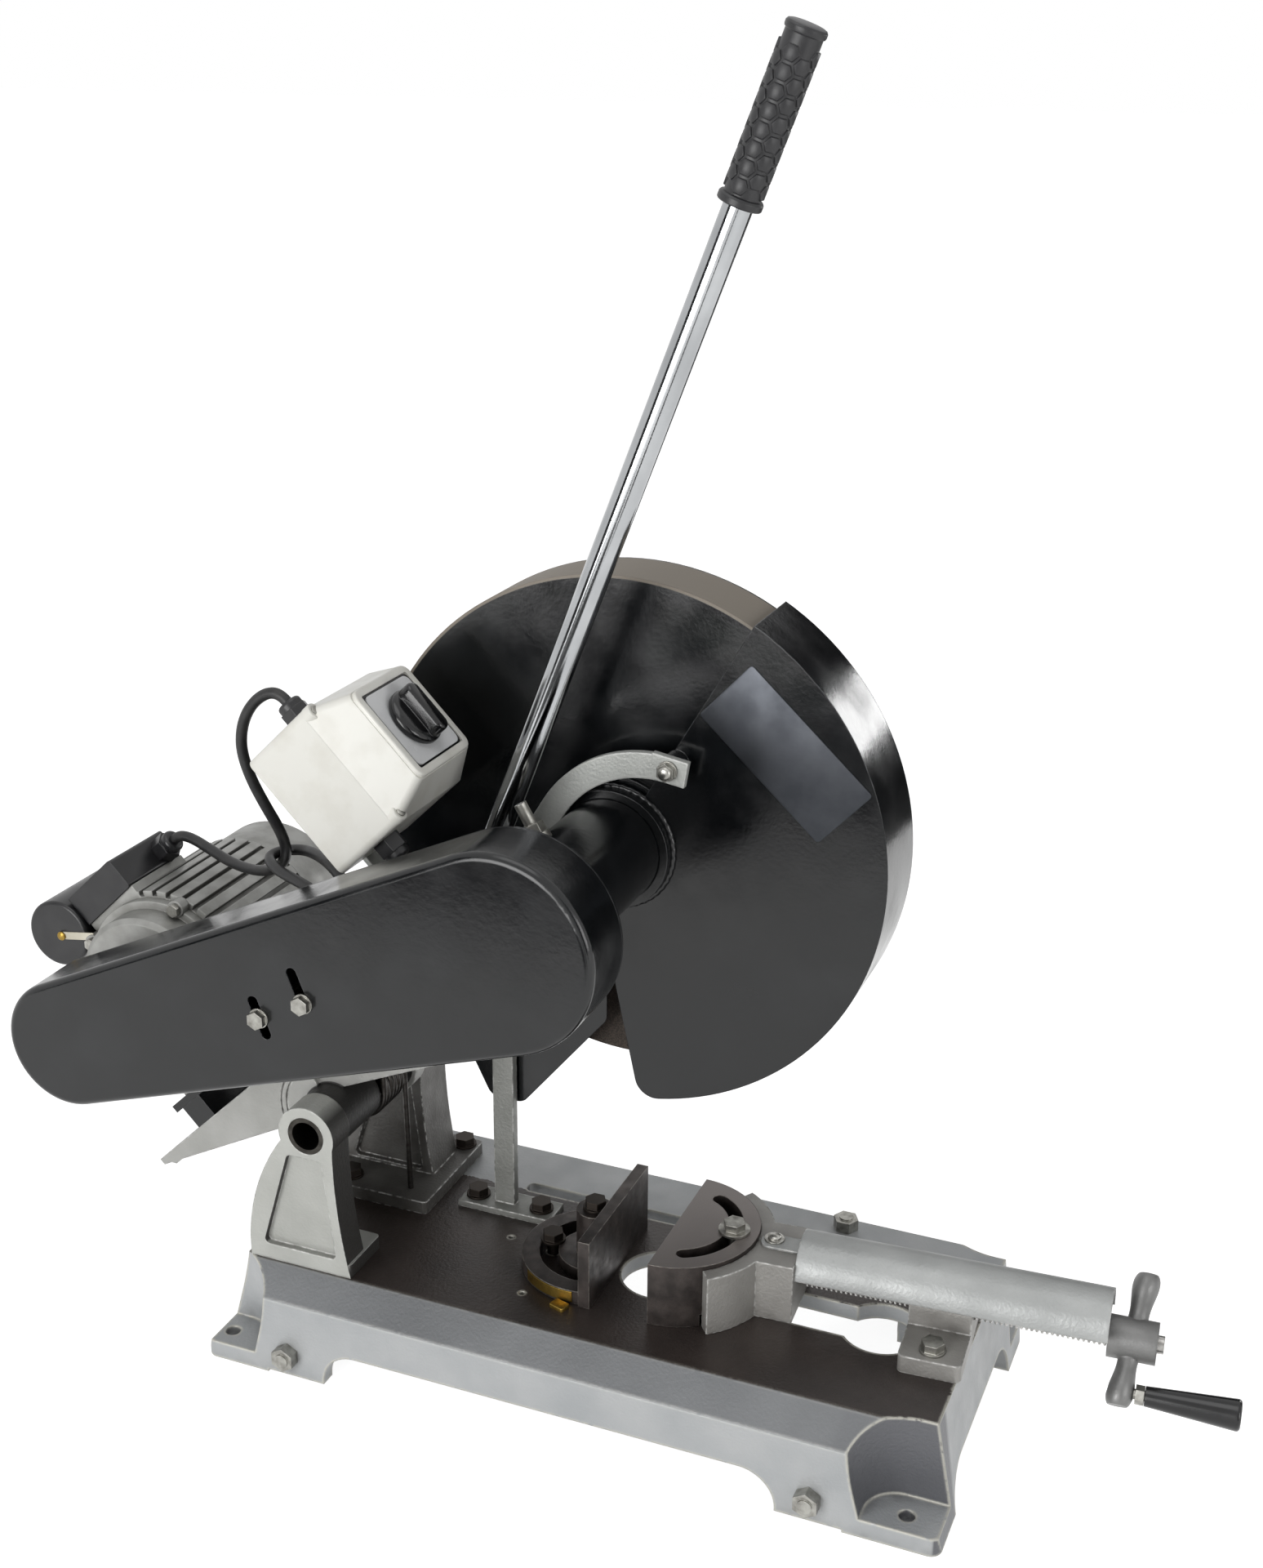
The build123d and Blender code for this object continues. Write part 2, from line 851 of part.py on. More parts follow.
# Swivelling fence: upright plate, hub with a bolted boss, and a clamped half ring
fence_floor = bed_height + gap
with BuildPart() as fence:
    with BuildSketch(upright(0, 0, fence_floor)):
        with Locations((fence_x, fence_y)):
            Circle(fence_ring_r)
            Circle(fence_ring_r - fence_ring_w, mode=Mode.SUBTRACT)
            Circle(fence_hub_r)
        with Locations((fence_x + fence_face - fence_t / 2 + fence_ring_r, fence_y)):
            Rectangle(2 * fence_ring_r, 4 * fence_ring_r, mode=Mode.SUBTRACT)
    extrude(amount=fence_ring_t)
    with BuildSketch(upright(0, 0, fence_floor)):
        with Locations((fence_x + fence_face - fence_t / 2, fence_y)):
            Rectangle(fence_t, 2 * fence_half)
    extrude(amount=fence_top_z - fence_floor)
    with BuildSketch(upright(0, 0, fence_floor)):
        with Locations((fence_x, fence_y)):
            Circle(fence_boss_r)
        with Locations((fence_x + fence_face / 2, fence_y)):
            Rectangle(fence_face - fence_t / 2, fence_boss_r)
    extrude(amount=fence_boss_z - fence_floor)
    with BuildSketch(upright(0, 0, fence_floor)):
        with Locations((fence_x, fence_y)):
            Circle(M10[0] / 2 + fit)
    extrude(amount=fence_top_z, mode=Mode.SUBTRACT)
save(fence.part, "swivel_fence")

# Swivelling jaw: a half disc with an arc slot, relieved below for the carrier's tongue
jaw_floor = bed_height + gap
jaw_centre = (jaw_x, jaw_y)


def sector(inner, outer, centre_deg, half_deg):
    """Ring sector about the jaw's swivel axis."""
    with BuildSketch(upright(0, 0, 0)) as piece:
        with BuildLine():
            rim = ThreePointArc(
                *(polar(jaw_centre, outer, centre_deg + turn * half_deg) for turn in (-1, 0, 1))
            )
            root = ThreePointArc(
                *(polar(jaw_centre, inner, centre_deg + turn * half_deg) for turn in (-1, 0, 1))
            )
            Line(rim @ 0, root @ 0)
            Line(rim @ 1, root @ 1)
        make_face()
    return piece.sketch


jaw_bolt_r = M10[0] / 2
slot_ends = [polar(jaw_centre, jaw_slot_r, turn * jaw_slot_deg) for turn in (-1, 1)]
with BuildPart() as jaw:
    with BuildSketch(upright(0, 0, jaw_floor)):
        with BuildLine():
            half = ThreePointArc(*(polar(jaw_centre, jaw_r, turn * 90) for turn in (-1, 0, 1)))
            Line(half @ 1, half @ 0)
        make_face()
        add(
            sector(jaw_slot_r - jaw_slot_half, jaw_slot_r + jaw_slot_half, 0, jaw_slot_deg),
            mode=Mode.SUBTRACT,
        )
        with Locations(slot_ends):
            Circle(jaw_slot_half, mode=Mode.SUBTRACT)
    extrude(amount=jaw_top_z - jaw_floor)
    with BuildSketch(upright(0, 0, jaw_floor)):
        add(sector(jaw_relief_r, jaw_r + gap, vise_yaw, tongue_deg + jaw_swing + tongue_play))
    extrude(amount=tongue_t + 2 * gap, mode=Mode.SUBTRACT)
save(jaw.part, "moving_jaw")

# Jaw carrier: a curved cradle round the jaw, its tongue below it and a block for the screw
carrier_seat_r = jaw_r + gap
carrier_back = carrier_seat_r + carrier_ring + carrier_length
collar_from = carrier_back - 2 * screw_collar_t
with BuildPart() as carrier:
    with BuildSketch(upright(0, 0, jaw_floor)):
        add(sector(carrier_seat_r, carrier_seat_r + carrier_ring, vise_yaw, carrier_deg))
    extrude(amount=carrier_top_z - jaw_floor)
    with BuildSketch(upright(0, 0, jaw_floor)):
        add(sector(tongue_r, carrier_seat_r + carrier_ring / 2, vise_yaw, tongue_deg))
    extrude(amount=tongue_t)
    with BuildSketch(vise_along.offset(jaw_floor)):
        with Locations(((carrier_seat_r + carrier_ring / 2 + carrier_back) / 2, 0)):
            Rectangle(carrier_back - carrier_seat_r - carrier_ring / 2, 2 * carrier_half)
    extrude(amount=carrier_top_z - jaw_floor)
    vise_axis = Plane(
        origin=(jaw_x, jaw_y, screw_z),
        x_dir=(-sin(radians(vise_yaw)), cos(radians(vise_yaw)), 0),
        z_dir=(cos(radians(vise_yaw)), sin(radians(vise_yaw)), 0),
    )
    with BuildSketch(vise_axis.offset(carrier_seat_r + carrier_ring)):
        Circle(screw_journal_r + fit)
    extrude(amount=carrier_length, mode=Mode.SUBTRACT)
    with BuildSketch(vise_axis.offset(collar_from)):
        Circle(screw_collar_r + gap)
    extrude(amount=screw_collar_t + 2 * gap, mode=Mode.SUBTRACT)
    jaw_bolt_spot = polar(jaw_centre, jaw_slot_r, vise_yaw)
    with BuildSketch(upright(0, 0, jaw_floor)):
        with Locations(jaw_bolt_spot):
            Circle(jaw_bolt_r + fit)
    extrude(amount=tongue_t, mode=Mode.SUBTRACT)
save(carrier.part, "jaw_carrier")

# Bolt that clamps the jaw to the carrier's tongue
jaw_bolt_seat = upright(*jaw_bolt_spot, jaw_top_z + gap)
jaw_bolt_length = jaw_top_z - jaw_floor + gap - bolt_short
save(hex_bolts(M10_wide, [(jaw_bolt_seat, jaw_bolt_length)]), "jaw_clamp_bolt")

# Half-round cover over the screw, closed at the carrier and tied to it by a flat tab with a round end
with BuildPart() as screw_cover:
    for inset, way in ((0, Mode.ADD), (cover_wall, Mode.SUBTRACT)):
        with BuildSketch(vise_axis.offset(carrier_back + inset)):
            with Locations((0, cover_z - screw_z)):
                Circle(cover_r - inset)
            with Locations((0, cover_z - screw_z - cover_r)):
                Rectangle(4 * cover_r, 2 * cover_r, mode=Mode.SUBTRACT)
        extrude(amount=cover_end - carrier_back - inset, mode=way)
    tab_from = carrier_back - cover_tab
    with BuildSketch(vise_along.offset(carrier_top_z)):
        with Locations(((tab_from + carrier_back + cover_wall) / 2, 0)):
            Rectangle(carrier_back + cover_wall - tab_from, cover_tab_width)
        with Locations((tab_from, 0)):
            Circle(cover_tab_width / 2)
    extrude(amount=cover_wall)
save(screw_cover.part, "screw_cover")

# Vise screw: journal and thrust collar in the carrier, then the thread and the crank's seat
thread_from = carrier_back + thread_inset
crank_near = crank_at - crank_hub_length / 2
thread_rings = int((crank_near - thread_from) / screw_lead)
with BuildPart() as screw:
    with BuildSketch(Plane(origin=vise_axis.origin, x_dir=vise_axis.z_dir, z_dir=vise_axis.x_dir)):
        with BuildLine():
            teeth = []
            for turn in range(thread_rings):
                base = thread_from + turn * screw_lead
                teeth += [
                    (base, screw_r - screw_root),
                    (base + screw_lead / 3, screw_r - screw_root),
                    (base + screw_lead / 2, screw_r),
                    (base + screw_lead * thread_crest, screw_r),
                ]
            thread_to = thread_from + thread_rings * screw_lead
            Polyline(
                (carrier_seat_r + carrier_ring + gap, 0),
                (carrier_seat_r + carrier_ring + gap, screw_journal_r),
                (collar_from + gap, screw_journal_r),
                (collar_from + gap, screw_collar_r),
                (collar_from + gap + screw_collar_t, screw_collar_r),
                (collar_from + gap + screw_collar_t, screw_journal_r),
                (thread_from, screw_journal_r),
                *teeth,
                (thread_to, screw_journal_r),
                (crank_at + crank_hub_length / 2 + screw_end, screw_journal_r),
                (crank_at + crank_hub_length / 2 + screw_end, 0),
                close=True,
            )
        make_face()
    revolve(axis=Axis(vise_axis.origin, vise_axis.z_dir))
save(screw.part, "vise_screw")

# Screw bracket: a bolted foot with the nut boss, standing over the bed's opening
with BuildPart() as bracket:
    with BuildSketch(vise_along.offset(bed_height)):
        with Locations((bracket_x - jaw_x, 0)):
            RectangleRounded(bracket_length, bracket_span, bracket_round)
    extrude(amount=bracket_base_t)
    with BuildSketch(vise_axis.offset(bracket_x - jaw_x - bracket_length / 2)):
        Circle(bracket_boss_r)
        with Locations((0, (bed_height - screw_z) / 2)):
            Rectangle(2 * bracket_boss_r, screw_z - bed_height)
    extrude(amount=bracket_length)
    with BuildSketch(vise_axis.offset(bracket_x - jaw_x - bracket_length / 2)):
        Circle(screw_r + fit)
    extrude(amount=bracket_length, mode=Mode.SUBTRACT)
    with BuildSketch(upright(0, 0, bed_height)):
        with Locations(bracket_bolt_spots):
            Circle(M10[0] / 2 + bolt_fit)
    extrude(amount=bracket_base_t, mode=Mode.SUBTRACT)
save(bracket.part, "screw_bracket")

# Cast crank with two arms, its grip pin and the turning grip
crank_up = Plane(
    origin=vise_axis.origin + vise_axis.z_dir * crank_at,
    x_dir=vise_axis.z_dir,
    z_dir=vise_axis.x_dir * sin(radians(crank_lean)) + Vector(0, 0, cos(radians(crank_lean))),
)
bulb_axis = vise_axis.offset(crank_at - crank_hub_length / 2)
bulb_out = Vector(sin(radians(crank_lean)), cos(radians(crank_lean))) * crank_arm
with BuildPart() as crank:
    with BuildSketch(bulb_axis):
        Circle(crank_hub_r)
    extrude(amount=crank_hub_length)
    for side in (-1, 1):
        for reach, half_along, half_across in crank_sections:
            with BuildSketch(crank_up.offset(side * reach)):
                with Locations((side * reach * tan(radians(crank_tilt)), 0)):
                    Ellipse(half_along, half_across)
        loft()
    with BuildSketch(bulb_axis):
        Circle(screw_journal_r + fit)
    extrude(amount=crank_hub_length, mode=Mode.SUBTRACT)
    with BuildSketch(bulb_axis):
        with Locations((-bulb_out.X, -bulb_out.Y)):
            Circle(crank_pin_r + fit)
    extrude(amount=crank_hub_length, mode=Mode.SUBTRACT)
save(crank.part, "crank_arm")

grip_start = crank_at + ferrule_at
grip_axis = Plane(
    origin=vise_axis.from_local_coords(Vector(-bulb_out.X, -bulb_out.Y, 0)),
    x_dir=vise_axis.x_dir,
    z_dir=vise_axis.z_dir,
)
with BuildPart() as crank_pin:
    with BuildSketch(grip_axis.offset(grip_start - crank_pin_root)):
        Circle(crank_pin_r)
    extrude(amount=crank_pin_root + ferrule_length + crank_grip_length - crank_pin_short)
    with BuildSketch(grip_axis.offset(grip_start)):
        RegularPolygon(ferrule_r, 6)
    extrude(amount=ferrule_length)
save(crank_pin.part, "crank_pin")

with BuildPart() as crank_grip:
    with BuildSketch(grip_axis.offset(grip_start + ferrule_length + gap)):
        Circle(crank_grip_small)
    with BuildSketch(grip_axis.offset(grip_start + ferrule_length + gap + crank_grip_length)):
        Circle(crank_grip_large)
    loft()
    fillet(crank_grip.edges().filter_by(GeomType.CIRCLE).sort_by(SortBy.RADIUS)[-1], crank_grip_round)
    with BuildSketch(grip_axis.offset(grip_start)):
        Circle(crank_pin_r + fit)
    extrude(amount=ferrule_length + crank_grip_length - crank_pin_short + 2 * gap, mode=Mode.SUBTRACT)
save(crank_grip.part, "crank_grip")

# Rocker arm: pivot hub, forward arm to the spindle housing, rear cheeks and the motor seat
seat_up = seat_angle + 90
seat_mid = polar(motor, motor_height + motor_plate_t + rail_h, seat_angle - 90)


def seat_point(forward, up):
    """Point on the motor seat, forward along it and up from it."""
    return along(seat_mid, seat_angle, forward, up)


def cheek(y_far, round_r):
    """Rear cheek of the rocker arm: it narrows from the motor seat to the pivot."""
    with BuildSketch(facing(y_far)) as face:
        with BuildLine():
            Polyline(
                seat_point(-cheek_tail, 0),
                seat_point(cheek_front, 0),
                polar(pivot, round_r, cheek_top_deg),
                pivot,
                seat_point(-cheek_tail, -seat_web / 2),
                close=True,
            )
        make_face()
    return face.sketch


lever_axis = Plane(
    origin=(lever_x, lever_y, lever_z),
    x_dir=(0, 1, 0),
    z_dir=(sin(radians(lever_deg)), 0, cos(radians(lever_deg))),
)
with BuildPart() as rocker:
    extrude(cheek(cheek_near_y + cheek_t, hub_r), amount=cheek_t)
    extrude(cheek(cheek_far_y, far_hub_r), amount=cheek_t)
    with BuildSketch(facing(cheek_far_y)):
        with BuildLine():
            Polyline(
                seat_point(-cheek_tail, 0),
                seat_point(cheek_front, 0),
                seat_point(cheek_front, -seat_web),
                seat_point(-cheek_tail + seat_web, -seat_web),
                close=True,
            )
        make_face()
    extrude(amount=cheek_far_y - cheek_near_y)
    with BuildSketch(facing(arm_far_y)):
        with BuildLine():
            Polyline(
                pivot,
                polar(pivot, hub_tube_r, arm_root_deg),
                along(pivot, arm_deg, arm_knee, -arm_half),
                along(spindle, arm_deg, 0, -arm_half),
                along(spindle, arm_deg, 0, arm_half),
                along(pivot, arm_deg, 0, arm_half),
                close=True,
            )
        make_face()
    extrude(amount=arm_width - arm_step)
    with BuildSketch(facing(arm_far_y)):
        with Locations(pivot):
            Circle(hub_tube_r)
    extrude(amount=arm_far_y - hub_near_y)
    with BuildSketch(facing(cheek_near_y + hub_groove_depth)):
        with Locations(pivot):
            for groove_r in hub_groove_rs:
                Circle(groove_r)
                Circle(groove_r - hub_groove_w, mode=Mode.SUBTRACT)
    extrude(amount=hub_groove_depth, mode=Mode.SUBTRACT)
    with BuildSketch(facing(cheek_far_y)):
        with Locations(pivot):
            Circle(far_hub_r)
    extrude(amount=far_hub_length)
    spring_peg = (spring_leg_x - spring_wire / 2 - spring_peg_r - gap, pivot_z + spring_peg_up)
    with BuildSketch(facing(spring_near_y + spring_wire)):
        with Locations(spring_peg):
            Circle(spring_peg_r)
    extrude(amount=spring_near_y + spring_wire - arm_far_y)
    with BuildSketch(lever_axis.offset(socket_start)):
        Circle(socket_r)
    extrude(amount=socket_end - socket_start)
    with BuildSketch(lever_axis.offset(lever_start)):
        Circle(lever_r + fit)
    extrude(amount=socket_end - lever_start, mode=Mode.SUBTRACT)
    with BuildSketch(facing(cheek_far_y)):
        with Locations(spindle):
            Circle(housing_r)
    extrude(amount=cheek_far_y - housing_near_y, mode=Mode.SUBTRACT)
    with BuildSketch(facing(cheek_far_y)):
        with Locations(pivot):
            Circle(pivot_tube_r + bush_wall)
    extrude(amount=cheek_far_y - hub_near_y, mode=Mode.SUBTRACT)
save(rocker.part, "rocker_arm")

# Bronze bushes of the hub, running on the pivot tube
with BuildPart() as bushes:
    for bush_far, bush_length in ((arm_far_y, arm_far_y - hub_near_y), (cheek_far_y, far_hub_length)):
        with BuildSketch(facing(bush_far)):
            with Locations(pivot):
                Circle(pivot_tube_r + bush_wall)
                Circle(pivot_tube_r + fit, mode=Mode.SUBTRACT)
        extrude(amount=bush_length)
save(bushes.part, "pivot_bushes")

back_screw_r = (housing_r + housing_bore) / 2
back_screws = [polar(spindle, back_screw_r, turn) for turn in back_screw_degs]
guard_bolt_r = (guard_nose_r + housing_r) / 2

# Spindle housing: bored tube with the nose flange that carries the fixed guard
with BuildPart() as housing:
    with BuildSketch(facing(housing_far_y)):
        with Locations(spindle):
            Circle(housing_r)
    extrude(amount=housing_far_y - housing_near_y)
    with BuildSketch(facing(housing_far_y)):
        with Locations(spindle):
            Circle(guard_nose_r)
    extrude(amount=guard_nose_t)
    with BuildSketch(facing(housing_far_y - guard_nose_t - 1)):
        with Locations(spindle):
            Circle(housing_bore)
    extrude(amount=housing_far_y - housing_near_y, mode=Mode.SUBTRACT)
    with BuildSketch(facing(housing_far_y)):
        with Locations(spindle):
            Circle(nose_bore)
            with PolarLocations(guard_bolt_r, 4, start_angle=45):
                Circle(M8[0] / 2 + fit)
    extrude(amount=housing_far_y - housing_near_y, mode=Mode.SUBTRACT)
    with BuildSketch(facing(housing_near_y + back_screw_depth)):
        with Locations(back_screws):
            Circle(M6[0] / 2 + fit)
    extrude(amount=back_screw_depth, mode=Mode.SUBTRACT)
save(housing.part, "spindle_housing")


def turned(centre, profile):
    """Solid turned about the Y axis through a centre, from (y, radius) corners."""
    with BuildPart() as body:
        with BuildSketch(Plane(origin=(centre[0], 0, centre[1]), x_dir=(0, 1, 0), z_dir=(1, 0, 0))):
            with BuildLine():
                Polyline(*profile, close=True)
            make_face()
        revolve(axis=Axis((centre[0], 0, centre[1]), (0, 1, 0)))
    return body.part


# Spindle bearings, one at each end of the housing
far_bearing_y = housing_far_y - guard_nose_t - 1
with BuildPart() as bearings:
    for bearing_far in (housing_near_y + bearing_inset + bearing_w, far_bearing_y):
        with BuildSketch(facing(bearing_far)):
            with Locations(spindle):
                Circle(housing_bore)
                Circle(spindle_r + fit, mode=Mode.SUBTRACT)
        extrude(amount=bearing_w)
save(bearings.part, "spindle_bearings")

# Lock screw on the housing: saddle boss, nut and stud
lock_root = polar(spindle, housing_r - lock_boss_h / 2, lock_deg)
lock_axis = Plane(
    origin=(lock_root[0], lock_y, lock_root[1]),
    x_dir=(0, 1, 0),
    z_dir=(cos(radians(lock_deg)), 0, sin(radians(lock_deg))),
)
with BuildPart() as lock_stud:
    with BuildSketch(lock_axis):
        Circle(M10[3])
    extrude(amount=lock_boss_h)
    with BuildSketch(lock_axis.offset(lock_boss_h)):
        RegularPolygon(M10[1] / 2, 6, major_radius=False)
    extrude(amount=M10[2] * 1.3)
    with BuildSketch(lock_axis):
        Circle(M10[0] / 2)
    extrude(amount=lock_length)
    with BuildSketch(facing(lock_y + lock_length)):
        with Locations(spindle):
            Circle(housing_r)
    extrude(amount=2 * lock_length, mode=Mode.SUBTRACT)
save(lock_stud.part, "lock_stud")

# Spindle shaft: pulley seat, journals, shoulder, wheel seat and thread
outer_flange_t = 0.7 * flange_t
nut_far_y = wheel_far_y + outer_flange_t + nut_h
shaft_near_y = pulley_y - 4
save(
    turned(
        spindle,
        (
            (shaft_near_y, 0),
            (shaft_near_y, pulley_seat_r),
            (housing_near_y - sheet - 2, pulley_seat_r),
            (housing_near_y - sheet - 2, spindle_r),
            (guard_near_y + 1, spindle_r),
            (guard_near_y + 1, shoulder_r),
            (wheel_near_y - flange_t, shoulder_r),
            (wheel_near_y - flange_t, spindle_seat_r),
            (wheel_far_y + outer_flange_t - 1, spindle_seat_r),
            (wheel_far_y + outer_flange_t - 1, spindle_thread_r),
            (nut_far_y + 2, spindle_thread_r),
            (nut_far_y + 2, 0),
        ),
    ),
    "spindle_shaft",
)

# Clamping flanges of the wheel, relieved at their middle
with BuildPart() as flanges:
    for face_y, back_y in (
        (wheel_near_y, wheel_near_y - flange_t),
        (wheel_far_y, wheel_far_y + outer_flange_t),
    ):
        relief = face_y + (back_y - face_y) * 0.2
        add(
            turned(
                spindle,
                (
                    (face_y, flange_r),
                    (face_y, flange_r * 0.7),
                    (relief, flange_r * 0.68),
                    (relief, spindle_seat_r + fit),
                    (back_y, spindle_seat_r + fit),
                    (back_y, flange_r * 0.55),
                    (face_y + (back_y - face_y) * 0.6, flange_r),
                ),
            )
        )
save(flanges.part, "wheel_flanges")

# Spindle nut and the abrasive wheel
with BuildPart() as spindle_nut:
    with BuildSketch(facing(nut_far_y)):
        with Locations(spindle):
            RegularPolygon(nut_flats / 2, 6, major_radius=False)
            Circle(spindle_thread_r + fit, mode=Mode.SUBTRACT)
    extrude(amount=nut_h)
save(spindle_nut.part, "spindle_nut")
save(ring(wheel_far_y, wheel_t, spindle, wheel_r, wheel_bore_r), "abrasive_wheel")


def pulley(centre, radius, bore):
    """Two-groove pulley."""
    grooves = []
    for groove in (-1, 1):
        middle = pulley_y + pulley_width / 2 + groove * groove_pitch / 2
        near, far = middle - groove_width / 2, middle + groove_width / 2
        root = radius - groove_depth
        grooves += [(near, radius), (near, root), (far, root), (far, radius)]
    return turned(
        centre,
        [(pulley_y, bore), (pulley_y, radius)]
        + grooves
        + [(pulley_y + pulley_width, radius), (pulley_y + pulley_width, bore)],
    )


save(pulley(spindle, spindle_pulley_r, pulley_seat_r + fit), "spindle_pulley")
save(pulley(motor, motor_pulley_r, motor_shaft_r + fit), "motor_pulley")

# Two belts
belt_width = groove_width - 2 * gap
with BuildPart() as belts:
    for groove in (-1, 1):
        belt_face = facing(pulley_y + pulley_width / 2 + groove * groove_pitch / 2 + belt_width / 2)
        lift = gap - groove_depth
        spindle_root, motor_root = spindle_pulley_r + lift, motor_pulley_r + lift
        extrude(
            two_circle_face(belt_face, spindle, spindle_root + belt_t, motor, motor_root + belt_t),
            amount=belt_width,
        )
        extrude(
            two_circle_face(belt_face, spindle, spindle_root, motor, motor_root),
            amount=belt_width,
            mode=Mode.SUBTRACT,
        )
save(belts.part, "drive_belts")


def belt_pan(inset, depth):
    """Solid of the belt cover's outline, with its front edge rounded."""
    with BuildPart() as pan:
        extrude(
            two_circle_face(facing(cover_back_y), spindle, cover_big_r - inset, motor, cover_small_r - inset),
            amount=depth,
        )
        fillet(pan.faces().sort_by(Axis.Y)[0].edges(), cover_round - inset)
    return pan.part


# Belt cover with its two slots, and the plate behind it
belt_deg = degrees(atan2(spindle_z - motor_z, spindle_x - motor_x))
slot_spots = [along(motor, belt_deg, *place) for place in cover_slot_places]
cover_bolt_spots = [
    along(motor, belt_deg, forward, left + drop)
    for (forward, left), drop in zip(cover_slot_places, cover_bolt_drop)
]
with BuildPart() as belt_cover:
    add(belt_pan(0, cover_depth))
    add(belt_pan(sheet, cover_depth - sheet), mode=Mode.SUBTRACT)
    with BuildSketch(facing(cover_face_y + sheet)):
        with Locations(slot_spots):
            SlotOverall(*cover_slot, rotation=belt_deg + 90)
    extrude(amount=sheet, mode=Mode.SUBTRACT)
save(belt_cover.part, "belt_cover")

with BuildPart() as back_plate:
    extrude(
        two_circle_face(facing(housing_near_y), spindle, cover_big_r, motor, cover_small_r),
        amount=housing_near_y - cover_back_y,
    )
    with BuildSketch(facing(housing_near_y)):
        with Locations(spindle):
            Circle(back_plate_bore)
        with Locations(motor):
            SlotOverall(3.2 * motor_shaft_r, 2.4 * motor_shaft_r, rotation=belt_deg)
        with Locations(cover_bolt_spots):
            Circle(M8[0] / 2 + fit)
        with Locations(back_screws):
            Circle(M6[0] / 2 + bolt_fit)
    extrude(amount=housing_near_y - cover_back_y, mode=Mode.SUBTRACT)
save(back_plate.part, "belt_back_plate")


# Fixed guard: near plate with the spark tail, rim and screw lugs
guard_mid_deg = (guard_front_deg + guard_tail_deg) / 2
guard_tangent = polar(spindle, guard_r, guard_tail_deg)
guard_tail_length = (guard_tangent[1] - guard_tail_z) / sin(radians(guard_tail_deg - 90))
guard_tail = along(guard_tangent, guard_tail_deg + 90, guard_tail_length, 0)


def guard_face(plane):
    """Side plate of the fixed guard: a sector with the tail that throws the sparks down."""
    with BuildSketch(plane) as face:
        with BuildLine():
            rim = ThreePointArc(
                *(polar(spindle, guard_r, turn) for turn in (guard_front_deg, guard_mid_deg, guard_tail_deg))
            )
            edge = FilletPolyline(
                rim @ 1,
                guard_tail,
                (guard_tail[0] + guard_tail_width, guard_tail_z),
                (guard_edge_x, guard_edge_z),
                (guard_edge_x, spindle_z),
                radius=guard_tail_round,
            )
            Polyline(edge @ 1, spindle, rim @ 0)
        make_face()
        with Locations(spindle):
            Circle(guard_hub_r)
    return face.sketch


lug_mid_r = guard_r - sheet - guard_lug / 2
side_screws = [polar(spindle, lug_mid_r, turn) for turn in guard_lug_degs]
with BuildPart() as fixed_guard:
    extrude(guard_face(facing(guard_near_y + sheet)), amount=sheet)
    with BuildSketch(facing(guard_far_y - sheet)):
        with BuildLine():
            band = CenterArc(spindle, guard_r - sheet / 2, guard_front_deg, guard_tail_deg - guard_front_deg)
            Line(band @ 1, (band @ 1) + (band % 1) * (guard_tail_length - guard_tail_round))
        trace(line_width=sheet)
    extrude(amount=guard_depth - 2 * sheet)
    with BuildSketch(facing(guard_far_y - sheet)):
        for turn in guard_lug_degs:
            with Locations(Location((*polar(spindle, lug_mid_r + 0.5, turn), 0), turn)):
                Rectangle(guard_lug + 1, guard_lug)
        with Locations(side_screws):
            Circle(M6[0] / 2 + fit, mode=Mode.SUBTRACT)
    extrude(amount=guard_lug)
    with BuildSketch(facing(guard_near_y + sheet)):
        with Locations(spindle):
            Circle(shoulder_r + 6)
            with PolarLocations(guard_bolt_r, 4, start_angle=45):
                Circle(M8[0] / 2 + bolt_fit)
    extrude(amount=sheet, mode=Mode.SUBTRACT)
save(fixed_guard.part, "fixed_guard")

with BuildPart() as side_cover:
    extrude(guard_face(facing(guard_far_y)), amount=sheet)
    with BuildSketch(facing(guard_far_y)):
        with Locations(side_screws):
            Circle(M6[0] / 2 + bolt_fit)
    extrude(amount=sheet, mode=Mode.SUBTRACT)
save(side_cover.part, "guard_side_cover")

